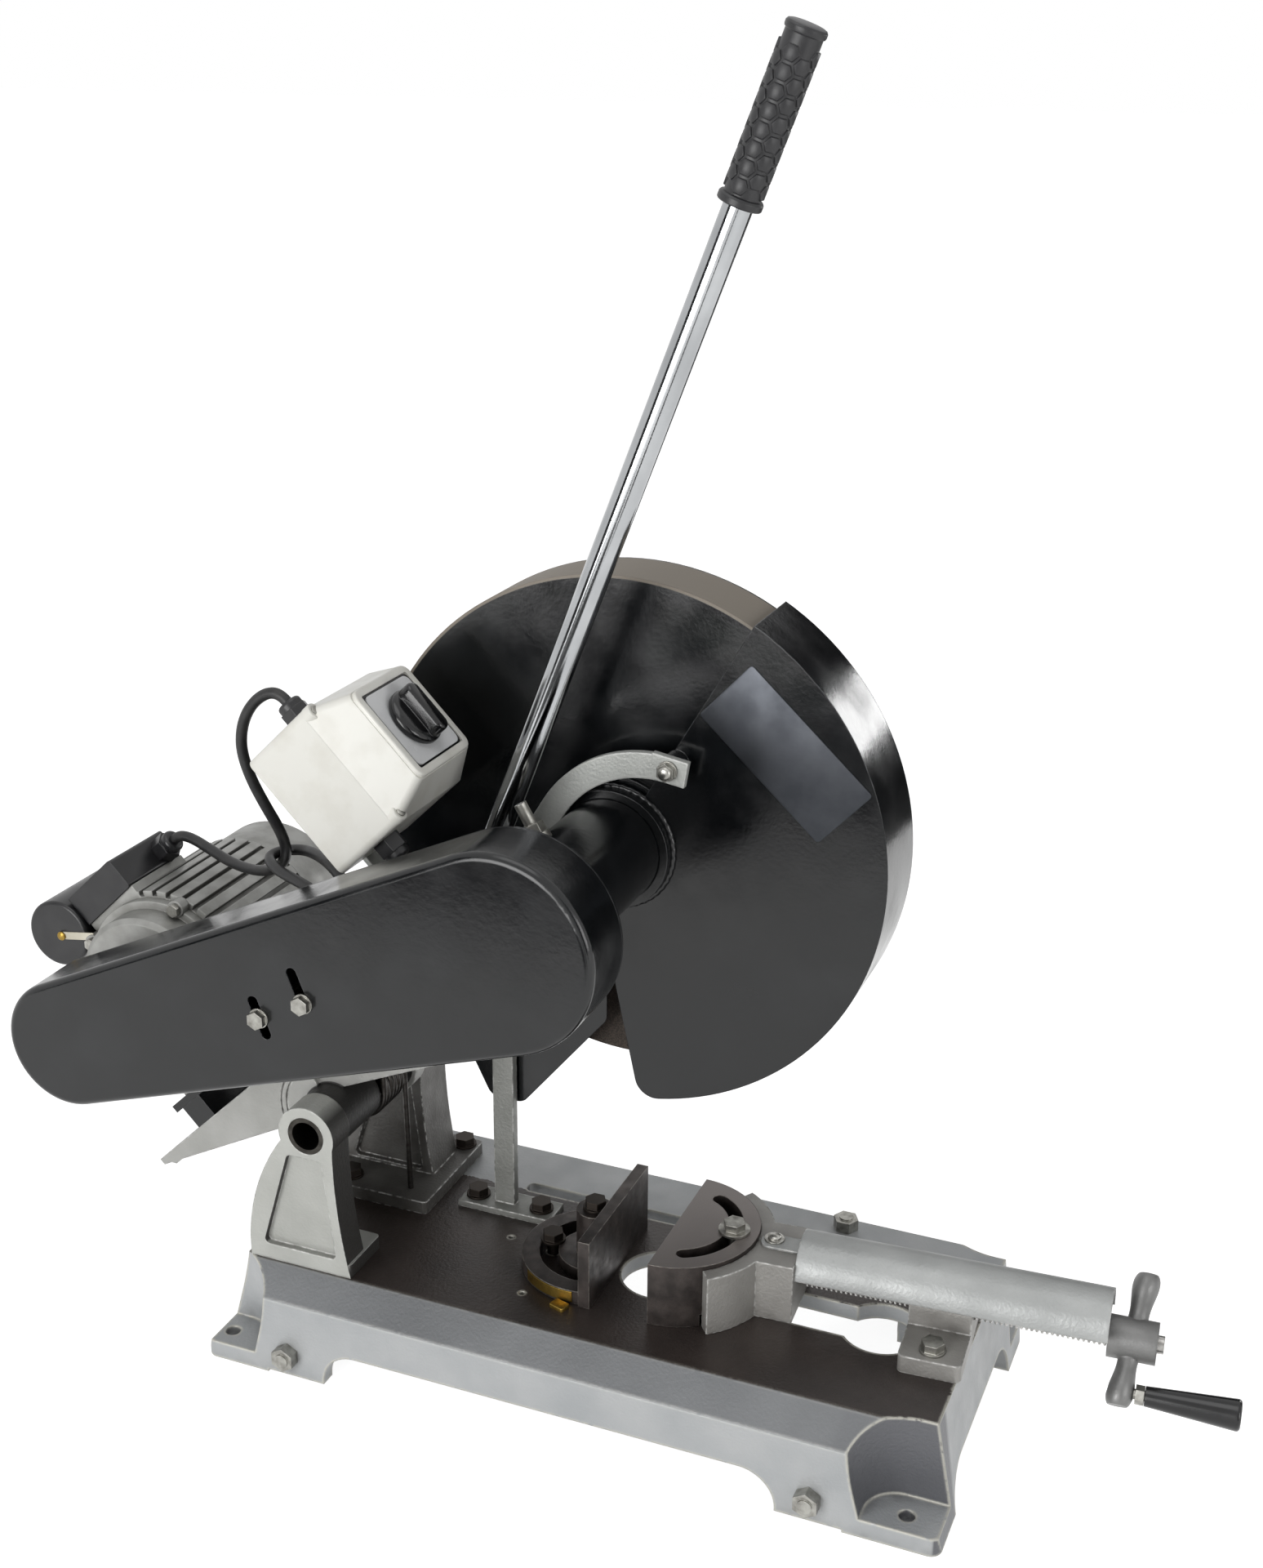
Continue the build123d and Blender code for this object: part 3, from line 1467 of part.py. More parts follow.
# Swing guard: front plate on a ring round the housing, rim, return lip and the link's lug
swing_rim_low = swing_low_deg + degrees(swing_corner / swing_r)
swing_sweep = swing_top_deg - swing_rim_low
with BuildPart() as swing_guard:
    with BuildSketch(facing(swing_near_y + sheet)) as swing_plate:
        with BuildLine():
            swing_arc = CenterArc(spindle, swing_r, swing_low_deg, swing_top_deg - swing_low_deg)
            Polyline(
                swing_arc @ 1,
                spindle,
                (spindle_x - swing_edge_back, spindle_z - swing_ring_r),
                swing_arc @ 0,
            )
        make_face()
        fillet(swing_plate.vertices().sort_by(Axis.Y)[0], swing_corner)
        with Locations(spindle):
            Circle(swing_ring_r)
            Circle(housing_r + gap, mode=Mode.SUBTRACT)
    extrude(amount=sheet)
    with BuildSketch(facing(swing_near_y)):
        with Locations(spindle):
            Circle(swing_ring_r)
            Circle(housing_r + gap, mode=Mode.SUBTRACT)
    extrude(amount=swing_ring_t)
    with BuildSketch(facing(swing_far_y)):
        with BuildLine():
            CenterArc(spindle, swing_r - sheet / 2, swing_rim_low, swing_sweep)
        trace(line_width=sheet)
    extrude(amount=swing_depth - sheet)
    with BuildSketch(facing(swing_far_y)):
        with BuildLine():
            CenterArc(spindle, swing_r - swing_lip / 2, swing_rim_low, swing_sweep)
        trace(line_width=swing_lip)
    extrude(amount=sheet)
    with BuildSketch(facing(swing_near_y)):
        with Locations(lug):
            Circle(link_width / 2)
    extrude(amount=swing_near_y - link_far_y - gap)
    with BuildSketch(facing(swing_near_y + sheet)):
        with Locations(lug):
            Circle(M8[0] / 2 + fit)
    extrude(amount=swing_near_y + sheet - link_far_y, mode=Mode.SUBTRACT)
save(swing_guard.part, "swing_guard")

# Pin bolt of the lug, and the bent link from the lug to the post
lug_seat = Plane(origin=(lug[0], link_near_y - gap, lug[1]), z_dir=(0, -1, 0))
save(hex_bolts(M8, [(lug_seat, swing_near_y + sheet - link_near_y)]), "link_bolt")
bend_centre = (spindle_x + link_bend_x, spindle_z + link_bend_z)
bend_r = hypot(lug[0] - bend_centre[0], lug[1] - bend_centre[1])
bend_from = degrees(atan2(lug[1] - bend_centre[1], lug[0] - bend_centre[0]))
post_turn = degrees(atan2(post_top_z - bend_centre[1], post_x - bend_centre[0])) % 360
post_reach = hypot(post_x - bend_centre[0], post_top_z - bend_centre[1])
bend_to = post_turn - degrees(acos(bend_r / post_reach))
with BuildPart() as link:
    with BuildSketch(facing(link_far_y)):
        with BuildLine():
            bend = CenterArc(bend_centre, bend_r, bend_from, bend_to - bend_from)
            Line(bend @ 1, post_pin)
        trace(line_width=link_width)
        with Locations(Location((*lug, 0), bend_from - 90)):
            Rectangle(2 * link_end, link_width)
        with Locations(post_pin):
            Circle(link_eye_r + link_width / 3)
            Circle(link_eye_r, mode=Mode.SUBTRACT)
        with Locations(lug):
            Circle(M8[0] / 2 + fit, mode=Mode.SUBTRACT)
    extrude(amount=link_t)
save(link.part, "guard_link")


def motor_point(forward, up):
    """Point beside the motor axis, along the seat and up from it."""
    return along(motor, seat_angle, forward, up)


def motor_slab(y_far, corners):
    """Slab across the motor axis with its corners in the seat's directions."""
    with BuildSketch(facing(y_far)) as slab:
        with BuildLine():
            Polyline(*(motor_point(*corner) for corner in corners), close=True)
        make_face()
    return slab.sketch


# Motor plate on its two rails
plate_top = -motor_height
plate_low = plate_top - motor_plate_t
rail_low = plate_low - rail_h
motor_bolt_ys = (foot_near_y + bolt_inset, foot_near_y + foot_length - bolt_inset)
foot_bolt_length = motor_foot_t + motor_plate_t + 3
seat_normal = (cos(radians(seat_up)), 0, sin(radians(seat_up)))


def box_corners(left, right, low, high):
    """Corners of a rectangle."""
    return ((left, low), (right, low), (right, high), (left, high))


with BuildPart() as motor_plate:
    plate_far_y = foot_near_y + foot_length + bolt_inset
    extrude(
        motor_slab(plate_far_y, box_corners(-motor_plate_half, motor_plate_half, plate_low, plate_top)),
        amount=plate_far_y - motor_near_y,
    )
    for rail in (-rail_spread, rail_spread):
        extrude(
            motor_slab(cheek_far_y, box_corners(rail - rail_w / 2, rail + rail_w / 2, rail_low, plate_low)),
            amount=cheek_far_y - cheek_near_y,
        )
    for bolt_y in motor_bolt_ys:
        for spread in (-foot_spread, foot_spread):
            spot = motor_point(spread, plate_top)
            with BuildSketch(Plane(origin=(spot[0], bolt_y, spot[1]), z_dir=seat_normal)):
                Circle(M8[0] / 2 + bolt_fit)
            extrude(amount=-motor_plate_t, mode=Mode.SUBTRACT)
save(motor_plate.part, "motor_plate")

# Motor housing: ribbed tube with feet, a pad for the terminal box and a clip for the capacitor
capacitor_spot = polar(motor, capacitor_reach, capacitor_deg)
pad_far_y = terminal_near_y + terminal_size[1]
foot_out = foot_spread + bolt_inset
foot_in = foot_spread - bolt_inset
foot_top = plate_top + motor_foot_t
with BuildPart() as motor_housing:
    with BuildSketch(facing(motor_far_y)):
        with Locations(motor):
            Circle(motor_fin_r)
            with PolarLocations(motor_fin_r, motor_ribs):
                Rectangle(2 * rib_depth, rib_gap, mode=Mode.SUBTRACT)
    extrude(amount=motor_length)
    extrude(
        motor_slab(
            foot_near_y + foot_length,
            (
                (-foot_out, plate_top),
                (-foot_out, foot_top),
                (-foot_in, foot_top),
                (-foot_in + motor_foot_t, -motor_core_r / 2),
                (foot_in - motor_foot_t, -motor_core_r / 2),
                (foot_in, foot_top),
                (foot_out, foot_top),
                (foot_out, plate_top),
                (foot_in - motor_foot_t, plate_top),
                (foot_in - 2 * motor_foot_t, foot_top),
                (-foot_in + 2 * motor_foot_t, foot_top),
                (-foot_in + motor_foot_t, plate_top),
            ),
        ),
        amount=foot_length,
    )
    extrude(
        motor_slab(
            pad_far_y,
            box_corners(-terminal_size[0] / 2, terminal_size[0] / 2, motor_core_r / 2, motor_fin_r),
        ),
        amount=pad_far_y - motor_near_y,
    )
    with BuildSketch(facing(capacitor_near_y + 0.7 * capacitor_length)):
        with Locations(Location((*polar(motor, motor_fin_r - 6, capacitor_deg), 0), capacitor_deg)):
            Rectangle(2 * (capacitor_reach - motor_fin_r - capacitor_r + 16), capacitor_r)
        with Locations(capacitor_spot):
            Circle(capacitor_r, mode=Mode.SUBTRACT)
    extrude(amount=capacitor_length / 3)
    with BuildSketch(facing(motor_far_y)):
        with Locations(motor):
            Circle(stator_r)
    extrude(amount=motor_length, mode=Mode.SUBTRACT)
    for bolt_y in motor_bolt_ys:
        for spread in (-foot_spread, foot_spread):
            spot = motor_point(spread, foot_top)
            with BuildSketch(Plane(origin=(spot[0], bolt_y, spot[1]), z_dir=seat_normal)):
                Circle(M8[0] / 2 + bolt_fit)
            extrude(amount=-motor_foot_t, mode=Mode.SUBTRACT)
save(motor_housing.part, "motor_housing")

# Stator ring, rotor with its shaft, and the fan
stator_near_y = motor_near_y + stator_inset
stator_length = motor_length - 2 * stator_inset
save(ring(stator_near_y + stator_length, stator_length, motor, stator_r, rotor_r + rotor_air), "motor_stator")
fan_near_y = motor_far_y + rear_bell_depth + 4
fan_far_y = fan_near_y + fan_length
save(
    turned(
        motor,
        (
            (pulley_y - 2, 0),
            (pulley_y - 2, motor_shaft_r),
            (stator_near_y, motor_shaft_r),
            (stator_near_y, rotor_r),
            (stator_near_y + stator_length, rotor_r),
            (stator_near_y + stator_length, motor_shaft_r),
            (fan_far_y, motor_shaft_r),
            (fan_far_y, 0),
        ),
    ),
    "motor_rotor",
)
with BuildPart() as fan:
    with BuildSketch(facing(fan_far_y)):
        with Locations(motor):
            Circle(motor_shaft_r * 1.6)
            with PolarLocations((fan_r + motor_shaft_r) / 2, 8):
                Rectangle(fan_r - motor_shaft_r, sheet)
            Circle(motor_shaft_r + fit, mode=Mode.SUBTRACT)
    extrude(amount=fan_length)
    with BuildSketch(facing(fan_near_y + sheet)):
        with Locations(motor):
            Circle(fan_r)
            Circle(motor_shaft_r + fit, mode=Mode.SUBTRACT)
    extrude(amount=sheet)
save(fan.part, "motor_fan")

# Motor bells, which carry the rotor's shaft, and the fan cover
bell_lip = bell_depth / 4
bell_hub_r = 2 * motor_shaft_r
bell_lugs = [polar(motor, bell_lug_at, bell_lug_deg + 90 * turn) for turn in range(4)]
with BuildPart() as bells:
    for flange_y, outward, depth in ((motor_near_y, -1, bell_depth), (motor_far_y, 1, rear_bell_depth)):
        add(
            turned(
                motor,
                (
                    (flange_y, bell_r),
                    (flange_y + outward * bell_lip, bell_r),
                    (flange_y + outward * bell_lip, bell_face_r),
                    (flange_y + outward * (depth - bell_chamfer), bell_face_r),
                    (flange_y + outward * depth, bell_face_r - bell_chamfer),
                    (flange_y + outward * depth, motor_shaft_r + fit),
                    (flange_y + outward * (depth - 3 * bell_wall), motor_shaft_r + fit),
                    (flange_y + outward * (depth - 3 * bell_wall), bell_hub_r),
                    (flange_y + outward * (depth - bell_wall), bell_hub_r),
                    (flange_y + outward * (depth - bell_wall), bell_face_r - bell_wall),
                    (flange_y, bell_face_r - bell_wall),
                ),
            )
        )
    with BuildSketch(facing(motor_near_y)):
        with Locations(bell_lugs):
            Circle(bell_lug_r)
    extrude(amount=bell_lug_t)
    with BuildSketch(facing(motor_near_y)):
        with Locations(bell_lugs):
            Circle(M6[0] / 2 + fit)
    extrude(amount=bell_lug_t, mode=Mode.SUBTRACT)
save(bells.part, "motor_bells")

fan_cover_far_y = motor_far_y + fan_cover_depth + bell_lip / 2
with BuildPart() as fan_cover:
    add(
        turned(
            motor,
            (
                (motor_far_y + bell_lip / 2, bell_r),
                (motor_far_y + bell_lip / 2, bell_r + sheet),
                (fan_cover_far_y - 4, bell_r + sheet),
                (fan_cover_far_y, bell_r - 4),
                (fan_cover_far_y, 0),
                (fan_cover_far_y - sheet, 0),
                (fan_cover_far_y - sheet, bell_r - 5),
                (fan_cover_far_y - 5, bell_r),
            ),
        )
    )
    with BuildSketch(facing(fan_cover_far_y)):
        with Locations(motor):
            for vent_r, vents in ((0.35 * bell_r, 8), (0.6 * bell_r, 14), (0.82 * bell_r, 20)):
                with PolarLocations(vent_r, vents):
                    SlotOverall(0.2 * bell_r, 5)
    extrude(amount=2 * sheet, mode=Mode.SUBTRACT)
save(fan_cover.part, "fan_cover")

# Terminal box on its pad, and the capacitor
with BuildPart() as terminal_box:
    extrude(
        motor_slab(
            pad_far_y,
            box_corners(
                -terminal_size[0] / 2, terminal_size[0] / 2, motor_fin_r, motor_fin_r + terminal_size[2]
            ),
        ),
        amount=terminal_size[1],
    )
    fillet(terminal_box.edges().filter_by(Axis.Y).sort_by(Axis.Z)[-2:], terminal_round)
save(terminal_box.part, "terminal_box")
with BuildPart() as capacitor:
    with BuildSketch(facing(capacitor_near_y + capacitor_length)):
        with Locations(capacitor_spot):
            Circle(capacitor_r)
    extrude(amount=capacitor_length)
    fillet(capacitor.edges().filter_by(GeomType.CIRCLE), capacitor_round)
save(capacitor.part, "capacitor")

# Hand lever and its grip
with BuildPart() as lever:
    with BuildSketch(lever_axis.offset(lever_start)):
        Circle(lever_r)
        Circle(lever_bore, mode=Mode.SUBTRACT)
    extrude(amount=lever_end - lever_start)
save(lever.part, "handle_tube")
grip_end = lever_end + grip_overhang
with BuildPart() as grip:
    with BuildSketch(lever_axis.offset(grip_end - grip_length)):
        Circle(grip_r)
    extrude(amount=grip_length)
    with BuildSketch(lever_axis.offset(grip_end - grip_length)):
        Circle(grip_collar_r)
    extrude(amount=grip_collar_t)
    with BuildSketch(lever_axis.offset(grip_end - grip_collar_t)):
        Circle(grip_cap_r)
    extrude(amount=grip_collar_t)
    fillet(grip.edges().filter_by(GeomType.CIRCLE).sort_by(Axis.Z)[-1], grip_round)
    with BuildSketch(lever_axis.offset(grip_end - grip_length)):
        Circle(lever_r + fit)
    extrude(amount=grip_length - grip_overhang + gap, mode=Mode.SUBTRACT)
save(grip.part, "handle_grip")

# Switch box on its bracket, its domed lid, face plate and knob
switch_out = (cos(radians(switch_deg)), 0, sin(radians(switch_deg)))
switch_down = (sin(radians(switch_deg)), 0, -cos(radians(switch_deg)))
switch_front = Plane(origin=(switch_x, switch_y, switch_z), x_dir=switch_down, z_dir=switch_out)
switch_back = switch_front.offset(-switch_depth)
with BuildPart() as switch_bracket:
    with BuildSketch(switch_back):
        with Locations((bracket_reach / 2 - switch_side / 4, bracket_y - switch_y)):
            Rectangle(bracket_reach + switch_side / 2, bracket_width)
    extrude(amount=-bracket_t)
    with BuildSketch(facing(arm_far_y + bracket_width)):
        with BuildLine():
            Polyline(
                along(pivot, arm_deg, 0, arm_half),
                along(spindle, arm_deg, 0, arm_half),
                along(spindle, arm_deg, 0, -arm_half),
                along(pivot, arm_deg, 0, -arm_half),
                close=True,
            )
        make_face()
    extrude(amount=arm_width + 2 * bracket_width, mode=Mode.SUBTRACT)
save(switch_bracket.part, "switch_bracket")

with BuildPart() as switch_box:
    with BuildSketch(switch_back):
        RectangleRounded(switch_side, switch_side, switch_round)
    extrude(amount=switch_depth)
    with BuildSketch(switch_back.offset(switch_wall)):
        RectangleRounded(switch_side - 2 * switch_wall, switch_side - 2 * switch_wall, switch_round)
    extrude(amount=switch_depth, mode=Mode.SUBTRACT)
save(switch_box.part, "switch_box")

with BuildPart() as switch_lid:
    for inset, low, high in ((0, 0, lid_rise), (switch_wall, 0, lid_rise - switch_wall)):
        with BuildSketch(switch_front.offset(low)):
            RectangleRounded(switch_side - 2 * inset, switch_side - 2 * inset, switch_round)
        with BuildSketch(switch_front.offset(high)):
            RectangleRounded(lid_face - 2 * inset, lid_face - 2 * inset, switch_round)
        loft(mode=Mode.SUBTRACT if inset else Mode.ADD)
    with BuildSketch(switch_front):
        Circle(knob_shaft_r + gap)
    extrude(amount=lid_rise, mode=Mode.SUBTRACT)
save(switch_lid.part, "switch_lid")

with BuildPart() as switch_plate:
    with BuildSketch(switch_front.offset(lid_rise)):
        RectangleRounded(bezel, bezel, switch_round)
        Circle(knob_shaft_r + fit, mode=Mode.SUBTRACT)
    extrude(amount=bezel_t)
save(switch_plate.part, "switch_plate")

with BuildPart() as knob:
    with BuildSketch(switch_front.offset(lid_rise + bezel_t + gap)):
        Circle(knob_r)
    extrude(amount=knob_base)
    with BuildSketch(switch_front.offset(lid_rise + bezel_t + gap)):
        SlotOverall(*knob_fin)
    extrude(amount=knob_h)
    with BuildSketch(switch_front.offset(lid_rise / 3)):
        Circle(knob_shaft_r)
    extrude(amount=lid_rise * 2 / 3 + bezel_t + knob_base)
save(knob.part, "switch_knob")


def gland(seat):
    """Cable gland: hexagon and domed nut, standing on a seat plane."""
    with BuildPart() as body:
        with BuildSketch(seat):
            RegularPolygon(gland_r, 6)
        extrude(amount=gland_hex)
        with BuildSketch(seat.offset(gland_hex)):
            Circle(gland_dome_r)
        extrude(amount=gland_dome)
        fillet(body.edges().filter_by(GeomType.CIRCLE).sort_by_distance(seat.origin)[-1], gland_round)
    return body.part


# Glands: motor terminal box, top of the switch box and bottom of the switch box
terminal_spot = motor_point(terminal_size[0] / 2, motor_fin_r + terminal_gland_up)
switch_top = tuple(-component for component in switch_down)
top_spot = switch_front.from_local_coords(Vector(-switch_side / 2, top_gland_y - switch_y, -switch_depth / 2))
low_spot = switch_front.from_local_coords(Vector(switch_side / 2, low_gland_y - switch_y, -switch_depth / 2))
gland_seats = (
    Plane(
        origin=(terminal_spot[0], terminal_gland_y, terminal_spot[1]),
        z_dir=(cos(radians(seat_angle)), 0, sin(radians(seat_angle))),
    ),
    Plane(origin=top_spot, z_dir=switch_top),
    Plane(origin=low_spot, z_dir=switch_down),
)
with BuildPart() as glands:
    for gland_seat in gland_seats:
        add(gland(gland_seat))
save(glands.part, "cable_glands")

# M8 bolts of the head: motor feet, belt cover and guard nose
motor_bolts = []
for bolt_y in motor_bolt_ys:
    for spread in (-foot_spread, foot_spread):
        spot = motor_point(spread, foot_top)
        motor_bolts.append((Plane(origin=(spot[0], bolt_y, spot[1]), z_dir=seat_normal), foot_bolt_length))
cover_bolts = [
    (Plane(origin=(x, cover_face_y, z), z_dir=(0, -1, 0)), housing_near_y - cover_face_y)
    for x, z in cover_bolt_spots
]
nose_bolts = [
    (Plane(origin=(x, guard_near_y + sheet, z), z_dir=(0, 1, 0)), sheet + guard_nose_t)
    for x, z in (polar(spindle, guard_bolt_r, 45 + 90 * turn) for turn in range(4))
]
save(hex_bolts(M8, motor_bolts + cover_bolts + nose_bolts), "head_bolts")

# M6 screws of the guard's side cover and the belt back plate, and the bolts of the motor's near bell
side_seats = [
    (Plane(origin=(x, guard_far_y, z), z_dir=(0, 1, 0)), sheet + guard_lug - bolt_short) for x, z in side_screws
]
back_seats = [
    (Plane(origin=(x, cover_back_y, z), z_dir=(0, -1, 0)), sheet + back_screw_depth - bolt_short)
    for x, z in back_screws
]
bell_seats = [
    (Plane(origin=(x, motor_near_y - bell_lug_t, z), z_dir=(0, -1, 0)), bell_lug_t - bolt_short)
    for x, z in bell_lugs
]
with BuildPart() as cover_screws:
    add(hex_bolts(M6, side_seats + back_seats))
    add(hex_bolts(M6_small, bell_seats))
save(cover_screws.part, "cover_screws")


def cord(points):
    """Tube along hand-placed points, each corner with the largest arc that its runs allow."""
    spots = [Vector(*point) for point in points]
    bends = []
    for before, corner, after in zip(spots, spots[1:], spots[2:]):
        turn = (corner - before).get_angle(after - corner)
        shorter = min((corner - before).length, (after - corner).length)
        bends.append(bend_share * shorter / tan(radians(turn / 2)))
    with BuildPart() as tube:
        with BuildLine() as route:
            FilletPolyline(*spots, radius=bends)
        with BuildSketch(Plane(origin=spots[0], z_dir=spots[1] - spots[0])):
            Circle(cable_r)
        sweep()
    length = route.wires()[0].length
    print("cord bends", [round(bend) for bend in bends], "length", round(length))
    print("cord volume over section times length", round(tube.part.volume / (pi * cable_r**2 * length), 4))
    return tube.part


# Lead from the motor's terminal box up to the switch box
gland_tips = [tuple(gland_seat.offset(gland_length).origin) for gland_seat in gland_seats]
lead_outs = [tuple(gland_seat.offset(gland_length + lead_straight).origin) for gland_seat in gland_seats]
motor_lead_points = [
    gland_tips[0],
    lead_outs[0],
    (-393, -1, 410),
    (-372, -5, 404),
    (-346, -13, 399),
    (-317, -24, 401),
    (-291, -35, 410),
    (-272, -45, 426),
    (-265, -53, 442),
    (-267, -59, 460),
    (-275, -65, 481),
    (-284, -70, 505),
    (-289, -73, 528),
    (-287, -74, 547),
    (-280, -75, 563),
    (-270, -75, 575),
    (-258, -75, 582),
    lead_outs[1],
    gland_tips[1],
]
save(cord(motor_lead_points), "motor_lead")

# Mains lead: out of the switch box, round the motor lead, back behind the arm and down to the floor
mains_lead_points = [
    gland_tips[2],
    lead_outs[2],
    (-121, -93, 446),
    (-120, -95, 431),
    (-128, -97, 418),
    (-145, -97, 411),
    (-166, -94, 416),
    (-188, -84, 428),
    (-214, -66, 438),
    (-242, -44, 436),
    (-264, -31, 432),
    (-281, -36, 430),
    (-284, -53, 430),
    (-268, -67, 428),
    (-248, -76, 427),
    (-225, -87, 427),
    (-200, -100, 425),
    (-185, -110, 411),
    (-186, -112, 390),
    (-203, -104, 368),
    (-230, -85, 350),
    (-252, -52, 340),
    (-262, -8, 335),
    (-263, 45, 331),
    (-263, 98, 323),
    (-264, 136, 301),
    (-265, 157, 262),
    (-266, 163, 215),
    (-267, 161, 165),
    (-267, 160, 122),
    (-271, 160, 86),
    (-281, 161, 54),
    (-296, 166, 29),
    (-310, 178, 16),
    (-317, 194, 14),
]
save(cord(mains_lead_points), "mains_lead")

# The rest of the lead, wound into a coil on the floor, with the plug lying beside it
coil_outer_r = coil_mean_r + 2 * cable_r
coil_inner_r = coil_mean_r - 2 * cable_r
with BuildPart() as coil:
    with BuildSketch(upright(*coil_centre, 0)):
        Circle(coil_outer_r)
        Circle(coil_inner_r, mode=Mode.SUBTRACT)
    extrude(amount=4 * cable_r)
    fillet(coil.edges().filter_by(GeomType.CIRCLE), cable_r * 0.8)
save(coil.part, "lead_coil")

plug_back = (coil_centre[0] - plug_shift, coil_centre[1] + coil_mean_r + plug_out)
plug_axis = Plane(origin=(*plug_back, plug_r), z_dir=(-1, 0, 0))
with BuildPart() as plug:
    with BuildSketch(plug_axis):
        Circle(1.3 * cable_r)
    with BuildSketch(plug_axis.offset(plug_neck)):
        Circle(1.9 * cable_r)
    loft()
    with BuildSketch(plug_axis.offset(plug_neck)):
        RectangleRounded(2 * plug_r, 2 * plug_r, 0.7 * plug_r)
    extrude(amount=plug_length)
    with BuildSketch(plug_axis.offset(plug_neck + plug_length)):
        with Locations((0, -plug_pin_pitch / 2), (0, plug_pin_pitch / 2)):
            Circle(plug_pin_r)
    extrude(amount=plug_pin)
save(plug.part, "mains_plug")
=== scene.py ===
"""Dresses the belt-driven metal cut-off saw: leads, grip, trim, finishes and a plain studio stage."""

import math

import bmesh
import bpy
from mathutils import Matrix, Vector


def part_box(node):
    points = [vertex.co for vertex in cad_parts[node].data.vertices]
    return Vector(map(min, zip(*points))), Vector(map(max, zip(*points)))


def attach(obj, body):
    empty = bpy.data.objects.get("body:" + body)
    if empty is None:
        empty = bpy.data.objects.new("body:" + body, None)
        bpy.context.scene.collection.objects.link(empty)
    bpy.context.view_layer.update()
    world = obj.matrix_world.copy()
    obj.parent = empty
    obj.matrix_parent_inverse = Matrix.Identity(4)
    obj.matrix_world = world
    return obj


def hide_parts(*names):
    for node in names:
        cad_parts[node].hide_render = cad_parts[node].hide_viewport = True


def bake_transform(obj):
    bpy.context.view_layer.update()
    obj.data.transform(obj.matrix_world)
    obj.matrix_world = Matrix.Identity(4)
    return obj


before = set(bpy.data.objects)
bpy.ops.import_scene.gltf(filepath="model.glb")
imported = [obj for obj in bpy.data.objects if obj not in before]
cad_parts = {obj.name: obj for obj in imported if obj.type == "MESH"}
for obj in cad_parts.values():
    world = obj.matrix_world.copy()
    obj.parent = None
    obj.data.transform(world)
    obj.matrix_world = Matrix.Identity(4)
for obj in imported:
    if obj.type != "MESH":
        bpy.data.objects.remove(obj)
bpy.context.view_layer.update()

bl_info = {
    "name": "Metal cut-off saw dressing",
    "version": (1, 0, 0),
    "blender": (4, 5, 0),
    "location": "View3D > Sidebar > Saw",
    "description": "Leads, grip, trim, finishes and stage for a belt-driven cut-off saw",
    "category": "Object",
}

MM = 0.001
RIGHT = (1, 0, 0)
FRONT = (0, -1, 0)
BACK = (0, 1, 0)
UP = (0, 0, 1)


def linear(code):
    """Linear colour of an sRGB hex value."""
    channels = [int(code[i:i + 2], 16) / 255 for i in (1, 3, 5)]
    return tuple(c / 12.92 if c <= 0.04045 else ((c + 0.055) / 1.055) ** 2.4 for c in channels) + (1.0,)


class SawSizes(bpy.types.PropertyGroup):
    """Sizes of the pieces that dress the saw."""

    lead_diameter: bpy.props.FloatProperty(
        name="Lead diameter", description="Outside diameter of both leads", default=9.2 * MM, unit="LENGTH")
    lever_angle: bpy.props.FloatProperty(
        name="Lever angle", description="Lean of the hand lever from upright",
        default=math.radians(21.2), subtype="ANGLE")
    grip_length: bpy.props.FloatProperty(
        name="Grip length", description="Length of the rubber grip", default=121 * MM, unit="LENGTH")
    grip_radius: bpy.props.FloatProperty(
        name="Grip radius", description="Radius of the grip between its pads",
        default=13.2 * MM, unit="LENGTH")
    pad_height: bpy.props.FloatProperty(
        name="Pad height", description="How far the grip's pads stand out", default=1.6 * MM, unit="LENGTH")
    pads_round: bpy.props.IntProperty(
        name="Pads round the grip", description="Columns of pads round the grip", default=8)


class SawColours(bpy.types.PropertyGroup):
    """Colours of the saw's finishes."""

    guard: bpy.props.FloatVectorProperty(
        name="Guard enamel", description="Black enamel on the guards", subtype="COLOR", size=4,
        default=linear("#0a0c0e"), min=0, max=1)
    switch: bpy.props.FloatVectorProperty(
        name="Switch box", description="Ivory plastic of the switch box", subtype="COLOR", size=4,
        default=linear("#e8e7e0"), min=0, max=1)


# Leads

MOTOR_LEAD_MM = (
    (-411.9, 0, 405.3), (-406.8, 0, 410.2), (-393, -1, 410), (-372, -5, 404), (-346, -13, 399),
    (-317, -24, 401), (-291, -35, 410), (-272, -45, 426), (-265, -53, 442), (-267, -59, 460),
    (-275, -65, 481), (-284, -70, 505), (-289, -73, 528), (-287, -74, 547), (-280, -75, 563),
    (-270, -75, 575), (-258, -75, 582), (-247.7, -75, 580.7), (-242.8, -75, 575.7),
)
MAINS_LEAD_MM = (
    (-137.7, -92, 468.7), (-132.8, -92, 463.7), (-121, -93, 446), (-120, -95, 431), (-128, -97, 418),
    (-145, -97, 411), (-166, -94, 416), (-188, -84, 428), (-214, -66, 438), (-242, -44, 436),
    (-264, -31, 432), (-281, -36, 430), (-284, -53, 430), (-268, -67, 428), (-248, -76, 427),
    (-225, -87, 427), (-200, -100, 425), (-185, -110, 411), (-186, -112, 390), (-203, -104, 368),
    (-230, -85, 350), (-252, -52, 340), (-262, -8, 335), (-263, 45, 331), (-263, 98, 323),
    (-264, 136, 301), (-265, 157, 262), (-266, 163, 215), (-267, 161, 165), (-267, 160, 122),
    (-271, 160, 86), (-281, 161, 54), (-296, 166, 29), (-310, 178, 16), (-317, 194, 14),
)
PLUG_END_MM = ((-376, 267, 6), (-386, 269.5, 10.5), (-396, 270, 14))
COIL_CENTRE_MM = (-372, 212)
COIL_RADIUS_MM = 50
